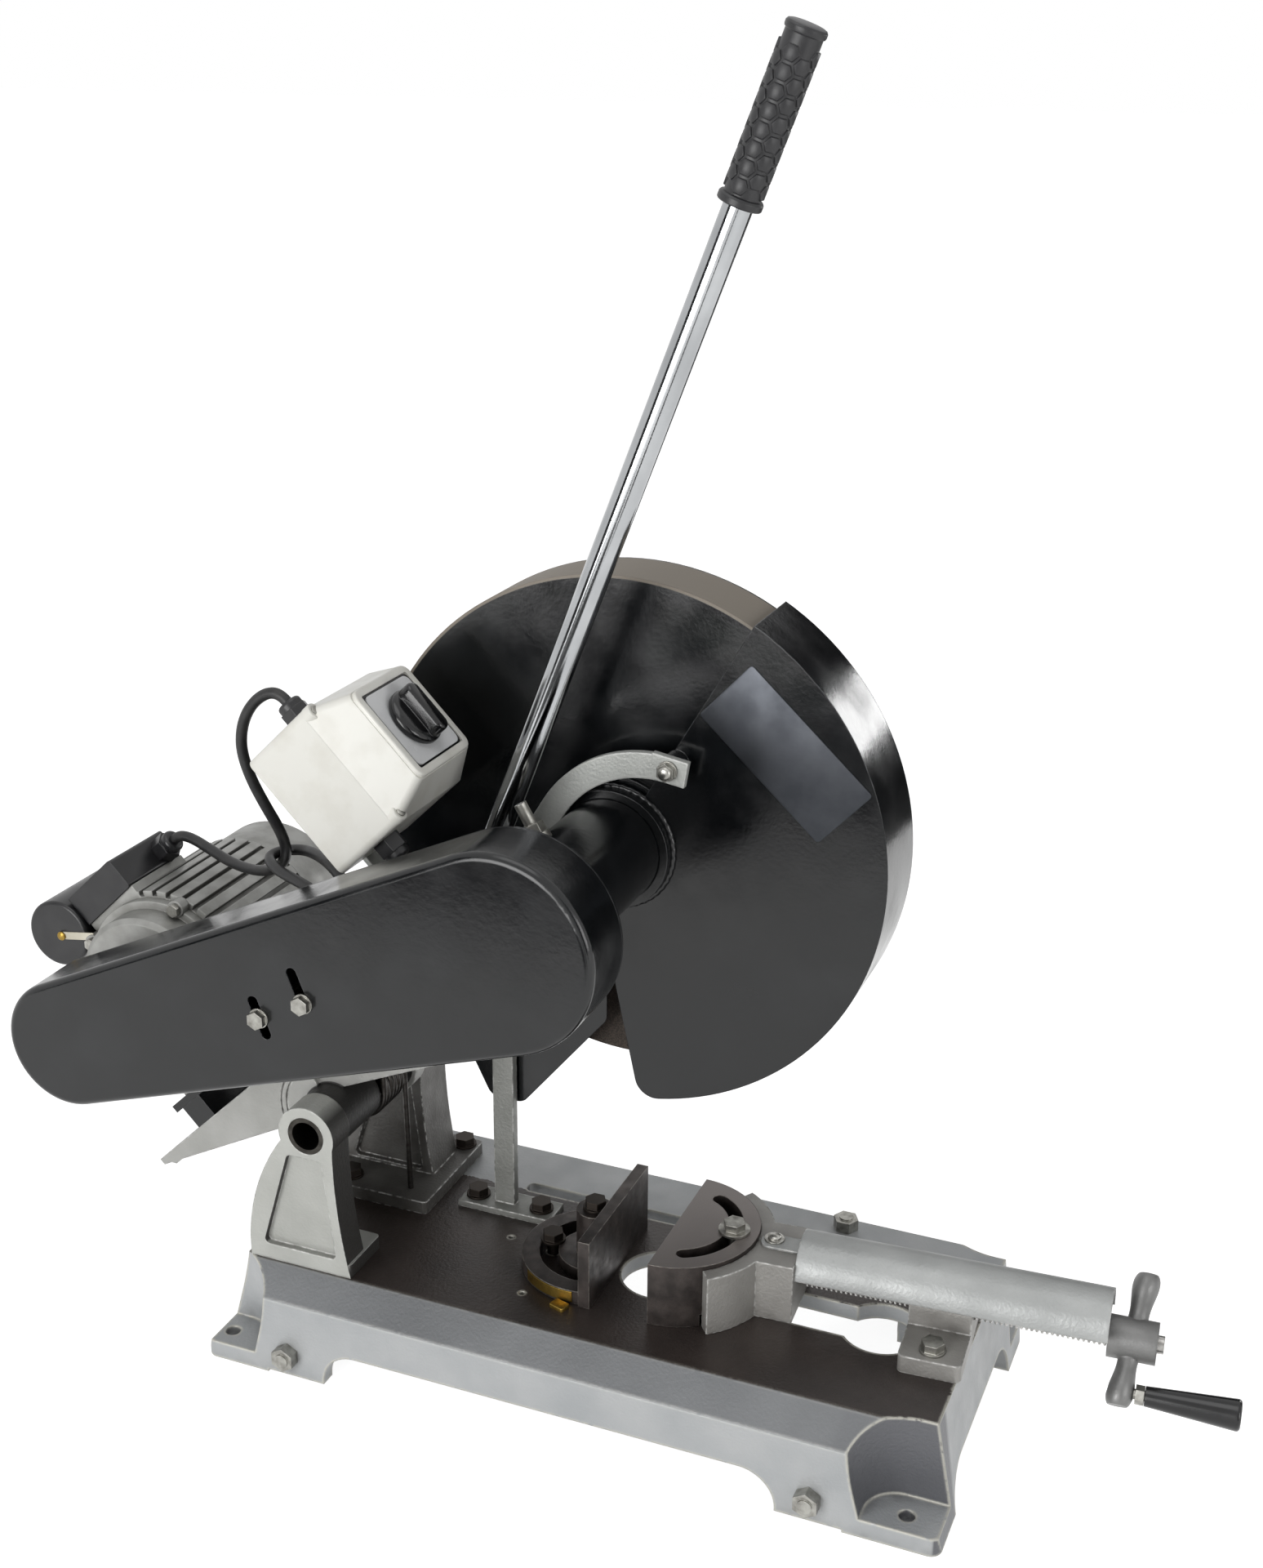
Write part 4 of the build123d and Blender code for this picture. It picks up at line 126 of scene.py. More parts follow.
COIL_START = math.radians(-12)
COIL_STEPS = 52
POINTS_PER_TURN = 16
LAYER_SHARE = 0.7


def coil_points():
    """Turns of the put-away coil: outer top first, down the inside and out along the floor."""
    strand = bpy.context.scene.saw_sizes.lead_diameter / MM / 2
    layers = ((strand, 3 * strand), (-strand, 3 * strand), (-strand, strand), (strand, strand))
    points = []
    for step in range(COIL_STEPS + 1):
        turn, share = divmod(step / POINTS_PER_TURN, 1)
        out, up = layers[int(turn)]
        next_out, next_up = layers[min(int(turn) + 1, len(layers) - 1)]
        ease = max(0, (share - LAYER_SHARE) / (1 - LAYER_SHARE))
        radius = COIL_RADIUS_MM + out + (next_out - out) * ease
        height = up + (next_up - up) * ease
        angle = COIL_START + step * 2 * math.pi / POINTS_PER_TURN
        x = COIL_CENTRE_MM[0] + radius * math.cos(angle)
        y = COIL_CENTRE_MM[1] + radius * math.sin(angle)
        points.append((x, y, height))
    return points


def lead_curve(name, points_mm, thickness):
    """A curve of one smooth open spline through a lead's route."""
    data = bpy.data.curves.new(name, "CURVE")
    data.dimensions = "3D"
    data.resolution_u = 8
    data.bevel_depth = thickness / 2
    data.bevel_resolution = 5
    data.use_fill_caps = True
    spline = data.splines.new("NURBS")
    spline.points.add(len(points_mm) - 1)
    for point, place in zip(spline.points, points_mm):
        point.co = (*(Vector(place) * MM), 1.0)
    spline.order_u = 3
    spline.use_endpoint_u = True
    piece = bpy.data.objects.new(name, data)
    bpy.context.scene.collection.objects.link(piece)
    return piece


def mesh_of(piece):
    """A mesh of what a curve shows."""
    bpy.context.view_layer.update()
    seen = piece.evaluated_get(bpy.context.evaluated_depsgraph_get())
    return bpy.data.meshes.new_from_object(seen)


def lay_lead(name, points_mm):
    """A mesh tube along a lead's route, and the points that it follows."""
    thickness = bpy.context.scene.saw_sizes.lead_diameter
    route = lead_curve(name + "_route", points_mm, thickness)
    tube = bpy.data.objects.new(name, mesh_of(route))
    bpy.context.scene.collection.objects.link(tube)
    route.data.bevel_depth = 0
    path = [tuple(vertex.co) for vertex in mesh_of(route).vertices]
    bpy.data.objects.remove(route)
    for face in tube.data.polygons:
        face.use_smooth = True
    tube.data.materials.clear()
    tube.data.materials.append(rubber_jacket())
    return tube, path


class SAW_OT_leads(bpy.types.Operator):
    """Lay the motor lead and the mains lead"""

    bl_idname = "saw.leads"
    bl_label = "Leads"

    def execute(self, context):
        motor_lead, path = lay_lead("motor_cable", MOTOR_LEAD_MM)
        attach(motor_lead, "head")
        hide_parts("motor_lead")
        mains_lead, path = lay_lead("mains_cable", MAINS_LEAD_MM + tuple(coil_points()) + PLUG_END_MM)
        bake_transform(mains_lead)
        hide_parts("mains_lead", "lead_coil")
        return {"FINISHED"}


# Small pieces

def laid(origin_mm, outward, side):
    """Matrix that stands local Z along a direction and lays local X along a side, at a point in mm."""
    up = Vector(outward).normalized()
    left = up.cross(Vector(side)).normalized()
    placed = Matrix((left.cross(up), left, up)).transposed().to_4x4()
    placed.translation = Vector(origin_mm) * MM
    return placed


def rounded(half_x, half_y, corner, steps=5):
    """Outline of a rectangle with round corners."""
    points = []
    for turn, (side_x, side_y) in enumerate(((1, 1), (-1, 1), (-1, -1), (1, -1))):
        for step in range(steps + 1):
            angle = math.radians(90 * (turn + step / steps))
            x = side_x * (half_x - corner) + corner * math.cos(angle)
            y = side_y * (half_y - corner) + corner * math.sin(angle)
            points.append((x, y))
    return points


def only(kind, items):
    """The vertices, edges or faces among mixed items."""
    return [item for item in items if isinstance(item, kind)]


def slab(shape, outline, placed, low, high, edge):
    """Raise a flat outline from one height to another and round its upper edge."""
    floor = shape.faces.new([shape.verts.new(placed @ (Vector((x, y, low)) * MM)) for x, y in outline])
    raised = bmesh.ops.extrude_face_region(shape, geom=[floor])["geom"]
    lift = placed.to_3x3() @ Vector((0, 0, (high - low) * MM))
    bmesh.ops.translate(shape, verts=only(bmesh.types.BMVert, raised), vec=lift)
    rim = only(bmesh.types.BMEdge, raised)
    bmesh.ops.bevel(shape, geom=rim, offset=edge * MM, affect="EDGES", segments=3, profile=0.5, material=-1)


def band(shape, outline, width, placed, low, high, edge):
    """Raise an outline, and sink all of it but a band along its edge back down."""
    slab(shape, outline, placed, low, high, edge)
    up = placed.col[2].to_3d()
    top = max(shape.faces, key=lambda face: face.calc_center_median().dot(up))
    bmesh.ops.inset_region(shape, faces=[top], thickness=(width - edge) * MM, use_even_offset=True)
    sunk = bmesh.ops.extrude_face_region(shape, geom=[top])["geom"]
    bmesh.ops.translate(shape, verts=only(bmesh.types.BMVert, sunk), vec=up * (low - high) * MM)
    bmesh.ops.delete(shape, geom=[top], context="FACES_ONLY")


def turned(shape, profile, placed, steps=48):
    """Spin a profile of (radius, height) corners in mm about local Z."""
    corners = [shape.verts.new(placed @ (Vector((radius, 0, height)) * MM)) for radius, height in profile]
    edges = [shape.edges.new(pair) for pair in zip(corners, corners[1:])]
    bmesh.ops.spin(shape, geom=corners + edges, axis=placed.col[2].to_3d(), cent=placed.translation,
                   angle=2 * math.pi, steps=steps, use_merge=True)
    bmesh.ops.remove_doubles(shape, verts=shape.verts, dist=0.01 * MM)


def dress(name, shape, body, material, sharp=40):
    """Turn a worked shape into a piece that rides on a body."""
    bmesh.ops.recalc_face_normals(shape, faces=shape.faces)
    mesh = bpy.data.meshes.new(name)
    shape.to_mesh(mesh)
    shape.free()
    for face in mesh.polygons:
        face.use_smooth = True
    mesh.set_sharp_from_angle(angle=math.radians(sharp))
    mesh.materials.append(material)
    piece = bpy.data.objects.new(name, mesh)
    bpy.context.scene.collection.objects.link(piece)
    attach(piece, body)
    return piece


LEVER_FOOT_MM = (-77.4, -35, 491.4)
GRIP_FROM_MM = 500.0
# Corners of the grip's ends: radius, and distance in from that end
GRIP_COLLAR = ((10.7, 0), (15.4, 0), (16, 0.8), (16, 4.6), (15, 6))
GRIP_CAP = ((14.2, 5.8), (14.6, 4.5), (14.6, 2.2), (13.6, 0.7), (11.5, 0), (0, 0))
CORE_FROM_MM = 6.6
CORE_SHORT_MM = 6.5
PADS_FROM_MM = 7
PADS_SHORT_MM = 15
PAD_PITCH_MM = 12.7
PAD_GAP_MM = 1.0
PAD_SINK_MM = 0.6
PAD_EASE_MM = 0.8
PAD_DOME_MM = 0.2


def pad_mesh(reach, lift):
    """Mesh of one flat six-sided pad in mm, with its edge eased and its top domed."""
    shape = bmesh.new()
    ring = bmesh.ops.create_circle(shape, cap_ends=True, segments=6, radius=reach)["verts"]
    raised = bmesh.ops.extrude_face_region(shape, geom=ring[0].link_faces[:])["geom"]
    bmesh.ops.translate(shape, verts=only(bmesh.types.BMVert, raised), vec=(0, 0, lift + PAD_SINK_MM))
    rim = only(bmesh.types.BMEdge, raised)
    bmesh.ops.bevel(shape, geom=rim, offset=PAD_EASE_MM, affect="EDGES", segments=2, profile=0.5, material=-1)
    top = max(shape.faces, key=lambda face: face.calc_center_median().z)
    bmesh.ops.poke(shape, faces=[top], offset=PAD_DOME_MM)
    mesh = bpy.data.meshes.new("grip_pad")
    shape.to_mesh(mesh)
    shape.free()
    return mesh


class SAW_OT_grip(bpy.types.Operator):
    """Mould the lever's rubber grip with its collar, cap and six-sided pads"""

    bl_idname = "saw.grip"
    bl_label = "Grip"

    def execute(self, context):
        sizes = context.scene.saw_sizes
        lean = sizes.lever_angle
        placed = laid(LEVER_FOOT_MM, (math.sin(lean), 0, math.cos(lean)), BACK)
        length = sizes.grip_length / MM
        core = sizes.grip_radius / MM
        top = GRIP_FROM_MM + length
        shape = bmesh.new()
        columns = sizes.pads_round
        side = 2 * math.pi * core / columns / 1.5
        pad = pad_mesh(side - PAD_GAP_MM, sizes.pad_height / MM)
        for column in range(columns):
            turn = 2 * math.pi * column / columns
            odd = column % 2
            rows = int((length - PADS_SHORT_MM) / PAD_PITCH_MM) - odd
            first = GRIP_FROM_MM + PADS_FROM_MM + PAD_PITCH_MM * (0.5 + 0.5 * odd)
            for row in range(rows):
                known = len(shape.verts)
                shape.from_mesh(pad)
                shape.verts.ensure_lookup_table()
                for corner in shape.verts[known:]:
                    along, across, rise = corner.co
                    angle = turn + across / core
                    radius = core + rise - PAD_SINK_MM
                    height = first + row * PAD_PITCH_MM + along
                    wrapped = Vector((radius * math.cos(angle), radius * math.sin(angle), height))
                    corner.co = placed @ (wrapped * MM)
        profile = [(radius, GRIP_FROM_MM + inward) for radius, inward in GRIP_COLLAR]
        profile += [(core, GRIP_FROM_MM + CORE_FROM_MM), (core, top - CORE_SHORT_MM)]
        profile += [(radius, top - inward) for radius, inward in GRIP_CAP]
        turned(shape, profile, placed)
        rubber = moulded_plastic("grip_rubber", linear("#242426"), linear("#313133"), 0.4, 0.52)
        piece = dress("lever_grip", shape, "head", rubber, 30)
        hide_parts("handle_grip")
        return {"FINISHED"}


SWITCH_MM = (-166, -63, 546)
SWITCH_LEAN = math.radians(44.5)
LID_RISE_MM = 34.0
PLATE_THICK_MM = 3.0
KNOB_SEAT_MM = LID_RISE_MM + PLATE_THICK_MM + 0.3
# The frame and the seal: half width, corner, width of the band, rise over the lid and eased edge
FRAME_MM = (41.4, 8, 6.6, 3.6, 1.6)
SEAL_MM = (34.8, 5, 1.7, 2.6, 0.5)
TRIM_SINK_MM = 0.3
LID_CORNER_MM = 49.5
LID_BOSS = ((7, 0), (7, 7.2), (6.2, 8), (0, 8))
LID_SCREW = ((4.2, 8), (4.2, 8.9), (3, 9.7), (0, 10))
KNOB_DISC = ((23, 0), (24, 1.2), (24, 4.6), (22.6, 6.8), (17, 8.2), (0, 8.6))
# The knob's grip bar: half length, half width, corner and steps round it, then its foot, top and eased edge
KNOB_BAR = (22.5, 7, 6.9, 8)
KNOB_BAR_RISE = (4, 20, 3.2)


class SAW_OT_switch(bpy.types.Operator):
    """Trim the switch box: raised frame, seal, lid screws and the moulded knob"""

    bl_idname = "saw.switch"
    bl_label = "Switch"

    def raise_band(self, placed, half, corner, width, rise, edge):
        """A square band that stands on the lid."""
        shape = bmesh.new()
        outline = rounded(half, half, corner)
        band(shape, outline, width, placed, LID_RISE_MM - TRIM_SINK_MM, LID_RISE_MM + rise, edge)
        return shape

    def execute(self, context):
        out = (math.cos(SWITCH_LEAN), 0, math.sin(SWITCH_LEAN))
        down = (math.sin(SWITCH_LEAN), 0, -math.cos(SWITCH_LEAN))
        placed = laid(SWITCH_MM, out, down)
        colour = tuple(context.scene.saw_colours.switch)
        ivory = moulded_plastic("ivory_trim", colour, linear("#dddbd2"), 0.3, 0.42)
        gloss_black = moulded_plastic("gloss_black_plastic", linear("#0d0d0f"), linear("#141416"), 0.08, 0.16)
        zinc = plated_steel("lid_screw_steel", "#a9a8a2", "#7d7b76", 0.28, 0.45)
        trim = self.raise_band(placed, *FRAME_MM)
        screws = bmesh.new()
        for side in (-1, 1):
            corner = placed @ Matrix.Translation(Vector((side * LID_CORNER_MM, -LID_CORNER_MM, 0)) * MM)
            turned(trim, LID_BOSS, corner, 24)
            turned(screws, LID_SCREW, corner, 24)
        dress("switch_trim", trim, "head", ivory)
        dress("switch_seal", self.raise_band(placed, *SEAL_MM), "head", gloss_black)
        dress("lid_screws", screws, "head", zinc)
        seat = placed @ Matrix.Translation((0, 0, KNOB_SEAT_MM * MM))
        shape = bmesh.new()
        turned(shape, KNOB_DISC, seat)
        slab(shape, rounded(*KNOB_BAR), seat, *KNOB_BAR_RISE)
        knob = dress("knob_moulding", shape, "knob", gloss_black, 50)
        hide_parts("switch_knob")
        return {"FINISHED"}


SPINDLE_MM = (-8.7, 0, 456.3)
# Outlines of the flat pieces: half length, half width and corner
PLATE_OUTLINE = (67, 30.5, 3)
POINTER_OUTLINE = (5, 7, 1.5)
STRAP_OUTLINE = (19, 3.4, 2)
PLATE_MM = (131.3, 23.9, 552.8)
PLATE_DIRECTION = (0.735, 0, -0.678)
WELD_RADIUS_MM = 50.6
WELD_HEIGHT_MM = -23.6
WELD_BEAD_MM = 2.4
WELD_RIPPLES = 23
WELD_SWELL = 0.3
FENCE_MM = (-4.5, -22, 0)
SCALE_STRIP_MM = ((62.1, 0, 97), (62.7, 0, 97), (62.7, 0, 106.5), (62.1, 0, 106.5))
SCALE_START = math.radians(-131)
SCALE_SWEEP = math.radians(46)
SCALE_STEPS = 23
POINTER_MM = (-6.8, -92, 95)
POINTER_DIRECTION = (0.3, 1, 0)
TAB_SCREW_MM = (148, -9.5, 149)
TAB_SCREW = ((8.2, 0), (8.2, 1.4), (5.6, 1.5), (5.4, 3), (4, 4.2), (0, 4.6))
BOLT_DOME = ((5.6, -0.2), (5.2, 1.4), (3.6, 2.6), (0, 3.1))
STRAP_MM = (-474, -65.1, 329.7)
STRAP_DIRECTION = (1, 0, 0.147)
STRAP_SCREW_MM = (-489, -66.2, 327.5)
STRAP_SCREW = ((4, 0), (4, 1.4), (2.8, 2.4), (0, 2.6))
BOX_SCREW_MM = (-453.9, -30, 388.7)
BOX_SCREW_OUT = (-0.693, 0, 0.721)
BOX_SCREW = ((4, 0), (4, 1.2), (2.8, 2.2), (0, 2.4))


class SAW_OT_trim(bpy.types.Operator):
    """Add the blank plate, weld bead, fence scale and the small screws"""

    bl_idname = "saw.trim"
    bl_label = "Trim"

    def weld_bead(self):
        """A rippled ring of weld round the swing guard's collar."""
        shape = bmesh.new()
        axis = laid(SPINDLE_MM, FRONT, RIGHT)
        start = Matrix.Translation(Vector((WELD_RADIUS_MM, 0, WELD_HEIGHT_MM)) * MM)
        section = axis @ start @ Matrix.Rotation(math.pi / 2, 4, "X")
        ring = bmesh.ops.create_circle(shape, segments=8, radius=WELD_BEAD_MM * MM, matrix=section)["verts"]
        bmesh.ops.spin(shape, geom=ring + shape.edges[:], axis=axis.col[2].to_3d(), cent=axis.translation,
                       angle=2 * math.pi, steps=180, use_merge=True)
        for corner in shape.verts:
            spot = axis.inverted() @ corner.co
            angle = math.atan2(spot.y, spot.x)
            across = Vector((math.cos(angle), math.sin(angle), 0)) * WELD_RADIUS_MM
            middle = (across + Vector((0, 0, WELD_HEIGHT_MM))) * MM
            swell = 1 + WELD_SWELL * abs(math.sin(WELD_RIPPLES * angle))
            corner.co = axis @ (middle + (spot - middle) * swell)
        return shape

    def fence_scale(self):
        """A thin strip bent round the fence's turntable."""
        shape = bmesh.new()
        start = laid(FENCE_MM, UP, RIGHT) @ Matrix.Rotation(SCALE_START, 4, "Z")
        corners = [shape.verts.new(start @ (Vector(corner) * MM)) for corner in SCALE_STRIP_MM]
        end_face = shape.faces.new(corners)
        bmesh.ops.spin(shape, geom=[end_face] + end_face.verts[:] + end_face.edges[:], axis=UP,
                       cent=start.translation, angle=SCALE_SWEEP, steps=SCALE_STEPS)
        return shape

    def execute(self, context):
        brass = plated_steel("scale_brass", "#a88b45", "#7a6530", 0.3, 0.5)
        zinc = plated_steel("trim_screw_steel", "#b4b3ae", "#85837d", 0.25, 0.4)
        foil = plated_steel("silver_foil", "#45474b", "#37393d", 0.3, 0.42, 30)
        shape = bmesh.new()
        slab(shape, rounded(*PLATE_OUTLINE), laid(PLATE_MM, FRONT, PLATE_DIRECTION), 0, 0.5, 0.2)
        dress("guard_plate", shape, "swing_guard", foil)
        dress("weld_bead", self.weld_bead(), "swing_guard", black_enamel("weld_enamel"), 60)
        dress("fence_scale", self.fence_scale(), "fence", brass)
        shape = bmesh.new()
        slab(shape, rounded(*POINTER_OUTLINE), laid(POINTER_MM, UP, POINTER_DIRECTION), 0, 3.4, 0.6)
        dress("scale_pointer", shape, "base", brass)
        shape = bmesh.new()
        turned(shape, TAB_SCREW, laid(TAB_SCREW_MM, UP, RIGHT), 32)
        dress("tab_screw", shape, "carriage", zinc)
        shape = bmesh.new()
        low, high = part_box("link_bolt")
        head_mm = (Vector(low) + Vector(high)) / 2 / MM
        head_mm.y = low[1] / MM
        turned(shape, BOLT_DOME, laid(head_mm, FRONT, RIGHT), 32)
        dress("link_bolt_dome", shape, "swing_guard", zinc)
        shape = bmesh.new()
        slab(shape, rounded(*STRAP_OUTLINE), laid(STRAP_MM, FRONT, STRAP_DIRECTION), 0, 1.2, 0.3)
        strap = moulded_plastic("cream_strap", linear("#d8d3c2"), linear("#c3bda9"), 0.4, 0.55)
        dress("capacitor_strap", shape, "head", strap)
        shape = bmesh.new()
        turned(shape, STRAP_SCREW, laid(STRAP_SCREW_MM, FRONT, RIGHT), 24)
        turned(shape, BOX_SCREW, laid(BOX_SCREW_MM, BOX_SCREW_OUT, BACK), 24)
        dress("brass_screws", shape, "head", brass)
        return {"FINISHED"}


# Materials

# Settings of a Mix node for colours and for numbers: its type, and its first, second and mixed sockets
MIX_OF = {"RGBA": ("RGBA", 6, 7, 2), "VALUE": ("FLOAT", 2, 3, 0)}
EDGE_SAMPLES = 6
OPEN_SAMPLES = 8
SOFT_RING_MM = 0.4


def add_node(tree, kind, inputs=None, **settings):
    """Add a node with its settings, and set or link its inputs."""
    node = tree.nodes.new("ShaderNode" + kind)
    for name, value in settings.items():
        setattr(node, name, value)
    for name, value in (inputs or {}).items():
        socket = node.inputs[name]
        if isinstance(value, bpy.types.NodeSocket):
            tree.links.new(value, socket)
        else:
            socket.default_value = value
    return node


def start_material(name):
    """A new node material with its tree, its shader and the object's own coordinates."""
    material = bpy.data.materials.new(name)
    material.use_nodes = True
    tree = material.node_tree
    shader = tree.nodes["Principled BSDF"]
    place = add_node(tree, "TexCoord").outputs["Object"]
    return material, tree, shader, place


def grain(size_mm):
    """Texture scale that gives a pattern of that size."""
    return 1 / (size_mm * MM)


def blotches(tree, place, size_mm, low=0.3, high=0.7, stretch=(1, 1, 1)):
    """Soft random patches of a real size, from 0 to 1 between two noise levels."""
    stretched = add_node(tree, "Mapping", {"Vector": place, "Scale": stretch}).outputs[0]
    noise = add_node(tree, "TexNoise", {"Vector": stretched, "Scale": grain(size_mm), "Detail": 4.0})
    return add_node(tree, "MapRange", {0: noise.outputs[0], 1: low, 2: high}).outputs[0]


def layered(tree, shader, name, value, *layers):
    """Build one of a shader's inputs up from a value and values laid over it, each where its mask is 1."""
    socket = shader.inputs[name]
    kind, first, second, mixed = MIX_OF[socket.type]
    for mask, over in layers:
        value = add_node(tree, "Mix", {0: mask, first: value, second: over}, data_type=kind).outputs[mixed]
    tree.links.new(value, socket)


def relief(tree, shader, height, depth_mm, edge_mm=0):
    """Raise a surface by a height pattern, round its sharp edges, and give back the rounded normals."""
    if edge_mm:
        normal = add_node(tree, "Bevel", {"Radius": edge_mm * MM}, samples=EDGE_SAMPLES).outputs[0]
    else:
        normal = add_node(tree, "NewGeometry").outputs["Normal"]
    inputs = {"Height": height, "Distance": depth_mm * MM, "Normal": normal, "Strength": 1.0}
    tree.links.new(add_node(tree, "Bump", inputs).outputs[0], shader.inputs["Normal"])
    return normal


def worn_edges(tree, place, normal, patches, full=0.90):
    """Mask that is 1 on patches of the sharp edges, where rounded normals lean from the flat ones."""
    flat = add_node(tree, "NewGeometry").outputs["Normal"]
    match = add_node(tree, "VectorMath", {0: normal, 1: flat}, operation="DOT_PRODUCT").outputs["Value"]
    edge = add_node(tree, "MapRange", {0: match, 1: 0.995, 2: full}).outputs[0]
    chips = blotches(tree, place, *patches)
    return add_node(tree, "Math", {0: edge, 1: chips}, operation="MULTIPLY").outputs[0]


def painted_corner_shade(tree, reach_mm, share):
    """Mask that rises to a share in corners and under overhangs, for painted shade there."""
    near = {"Distance": reach_mm * MM}
    open_share = add_node(tree, "AmbientOcclusion", near, samples=OPEN_SAMPLES).outputs["AO"]
    return add_node(tree, "MapRange", {0: open_share, 1: 0.75, 2: 0.25, 4: share}).outputs[0]


def rubber_jacket():
    """Black rubber-sheathed cable: dull, a little dusty, with a fine moulded skin."""
    material, tree, shader, place = start_material("rubber_cable_jacket")
    dust = blotches(tree, place, 14, 0.45, 0.75)
    layered(tree, shader, "Base Color", linear("#161617"), (dust, linear("#2b2a29")))
    layered(tree, shader, "Roughness", 0.42, (dust, 0.6))
    relief(tree, shader, blotches(tree, place, 1.2), 0.05)
    return material


def casting_enamel(name, clean, grimy, corner_shade_share):
    """Grey enamel brushed over sand-cast iron: satin, softly pitted, darkened in corners by patchy dirt and
    painted shade, chipped on edges.
    """
    material, tree, shader, place = start_material(name)
    normal = relief(tree, shader, blotches(tree, place, 2.6), 0.16, 2.2)
    tone = blotches(tree, place, 55, 0.35)
    patchy = blotches(tree, place, 12, 0.2, 0.75)
    # Brown-grey in corners and under overhangs: painted shade, broken into dirt-like patches.
    dirt_and_corner_shade = add_node(tree, "Math", {0: painted_corner_shade(tree, 30, corner_shade_share), 1: patchy}, operation="MULTIPLY").outputs[0]
    chips = worn_edges(tree, place, normal, (5, 0.42, 0.6))
    layered(tree, shader, "Base Color", linear(clean),
            (tone, linear(grimy)), (dirt_and_corner_shade, linear("#3f3a34")), (chips, linear("#d9d9d6")))
    layered(tree, shader, "Roughness", 0.36, (blotches(tree, place, 20), 0.52))
    shader.inputs["Metallic"].default_value = 0.25
    return material


def beyond(tree, centre_mm, radius_mm, soft_mm=SOFT_RING_MM):
    """Mask that is 1 further than a radius from an axis along Y, or nearer if the soft width is below 0."""
    place = add_node(tree, "TexCoord").outputs["Object"]
    centre = Vector(centre_mm) * MM
    away = add_node(tree, "VectorMath", {0: place, 1: centre}, operation="SUBTRACT").outputs[0]
    flat = add_node(tree, "VectorMath", {0: away, 1: (1, 0, 1)}, operation="MULTIPLY").outputs[0]
    reach = add_node(tree, "VectorMath", {0: flat}, operation="LENGTH").outputs["Value"]
    low = (radius_mm - soft_mm) * MM
    high = (radius_mm + soft_mm) * MM
    return add_node(tree, "MapRange", {0: reach, 1: low, 2: high}).outputs[0]


def towards(tree, direction):
    """Mask that is 1 on the faces that look one way."""
    normal = add_node(tree, "TexCoord").outputs["Normal"]
    match = add_node(tree, "VectorMath", {0: normal, 1: direction}, operation="DOT_PRODUCT").outputs["Value"]
    return add_node(tree, "MapRange", {0: match, 1: 0.4, 2: 0.8}).outputs[0]


def past(tree, axis, place_mm, soft_mm=2):
    """Mask that is 1 past a place along an axis, or before it if the soft width is below 0."""
    place = add_node(tree, "TexCoord").outputs["Object"]
    along = add_node(tree, "SeparateXYZ", {0: place}).outputs[axis]
    low = (place_mm - soft_mm) * MM
    high = (place_mm + soft_mm) * MM
    return add_node(tree, "MapRange", {0: along, 1: low, 2: high}).outputs[0]


def shaded_corner_scoop(tree):
    """Mask that is 1 on the hollowed face of the bed's near corner at the crank's end, for painted shade
    there.
    """
    mask = past(tree, "X", 243, 3)
    normal = add_node(tree, "TexCoord").outputs["Normal"]
    lean = add_node(tree, "SeparateXYZ", {0: normal}).outputs["Z"]
    steep = add_node(tree, "MapRange", {0: lean, 1: 0.8, 2: 0.5}).outputs[0]
    for share in (past(tree, "Y", -147, 0.4), past(tree, "Y", -97, -3), steep):
        mask = add_node(tree, "Math", {0: mask, 1: share}, operation="MULTIPLY").outputs[0]
    return mask


def over_painted(material, mask, colour, gloss):
    """Lay another colour and sheen over a finish where a mask is 1."""
    tree = material.node_tree
    shader = tree.nodes["Principled BSDF"]
    for name, value in (("Base Color", colour), ("Roughness", gloss)):
        under = shader.inputs[name].links[0].from_socket
        layered(tree, shader, name, under, (mask, value))
    return material


def bed_enamel():
    """Grey enamel on the bed's sides and far strip, with painted shade on the front slope and the hollowed
    corner, and a machined top gone brown with oil and rust.
    """
    material = casting_enamel("bed_enamel_and_machined_top", "#b3b5b6", "#a5a8aa", 0.8)
    tree = material.node_tree
    surface = add_node(tree, "TexCoord").outputs
    place = surface["Object"]
    across = add_node(tree, "SeparateXYZ", {0: place}).outputs["Y"]
    lean = add_node(tree, "SeparateXYZ", {0: surface["Normal"]}).outputs["Z"]
    rising = add_node(tree, "MapRange", {0: lean, 1: 0.2, 2: 0.4}).outputs[0]
    slanted = add_node(tree, "MapRange", {0: lean, 1: 0.98, 2: 0.93}).outputs[0]
    shaded_slope = add_node(tree, "Math", {0: rising, 1: slanted}, operation="MULTIPLY").outputs[0]
    ragged = add_node(tree, "MapRange", {0: blotches(tree, place, 9), 3: 55 * MM, 4: 60 * MM}).outputs[0]
    near = add_node(tree, "Math", {0: across, 1: ragged}, operation="LESS_THAN").outputs[0]
    top = past(tree, "Z", 94.45, 0.25)
    bare = add_node(tree, "Math", {0: top, 1: near}, operation="MULTIPLY").outputs[0]
    rust = blotches(tree, place, 90, 0.35)
    kind, first, second, mixed = MIX_OF["RGBA"]
    # Over the enamel: painted shade on the front slope, painted shade in the hollowed corner, then the bare
    # machined top.
    for mask, fresh, rusty, gloss in (
        (shaded_slope, "#808284", "#707274", 0.42),
        # Dark grey in the hollowed corner: painted shade.
        (shaded_corner_scoop(tree), "#66676b", "#66676b", 0.4),
        (bare, "#2e2826", "#473f3b", 0.38),
    ):
        tones = {0: rust, first: linear(fresh), second: linear(rusty)}
        over_painted(material, mask, add_node(tree, "Mix", tones, data_type=kind).outputs[mixed], gloss)
    normal = add_node(tree, "Bevel", {"Radius": 4 * MM}, samples=EDGE_SAMPLES).outputs[0]
    chips = worn_edges(tree, place, normal, (7, 0.3, 0.45), 0.965)
    return over_painted(material, chips, linear("#c9c7bd"), 0.45)


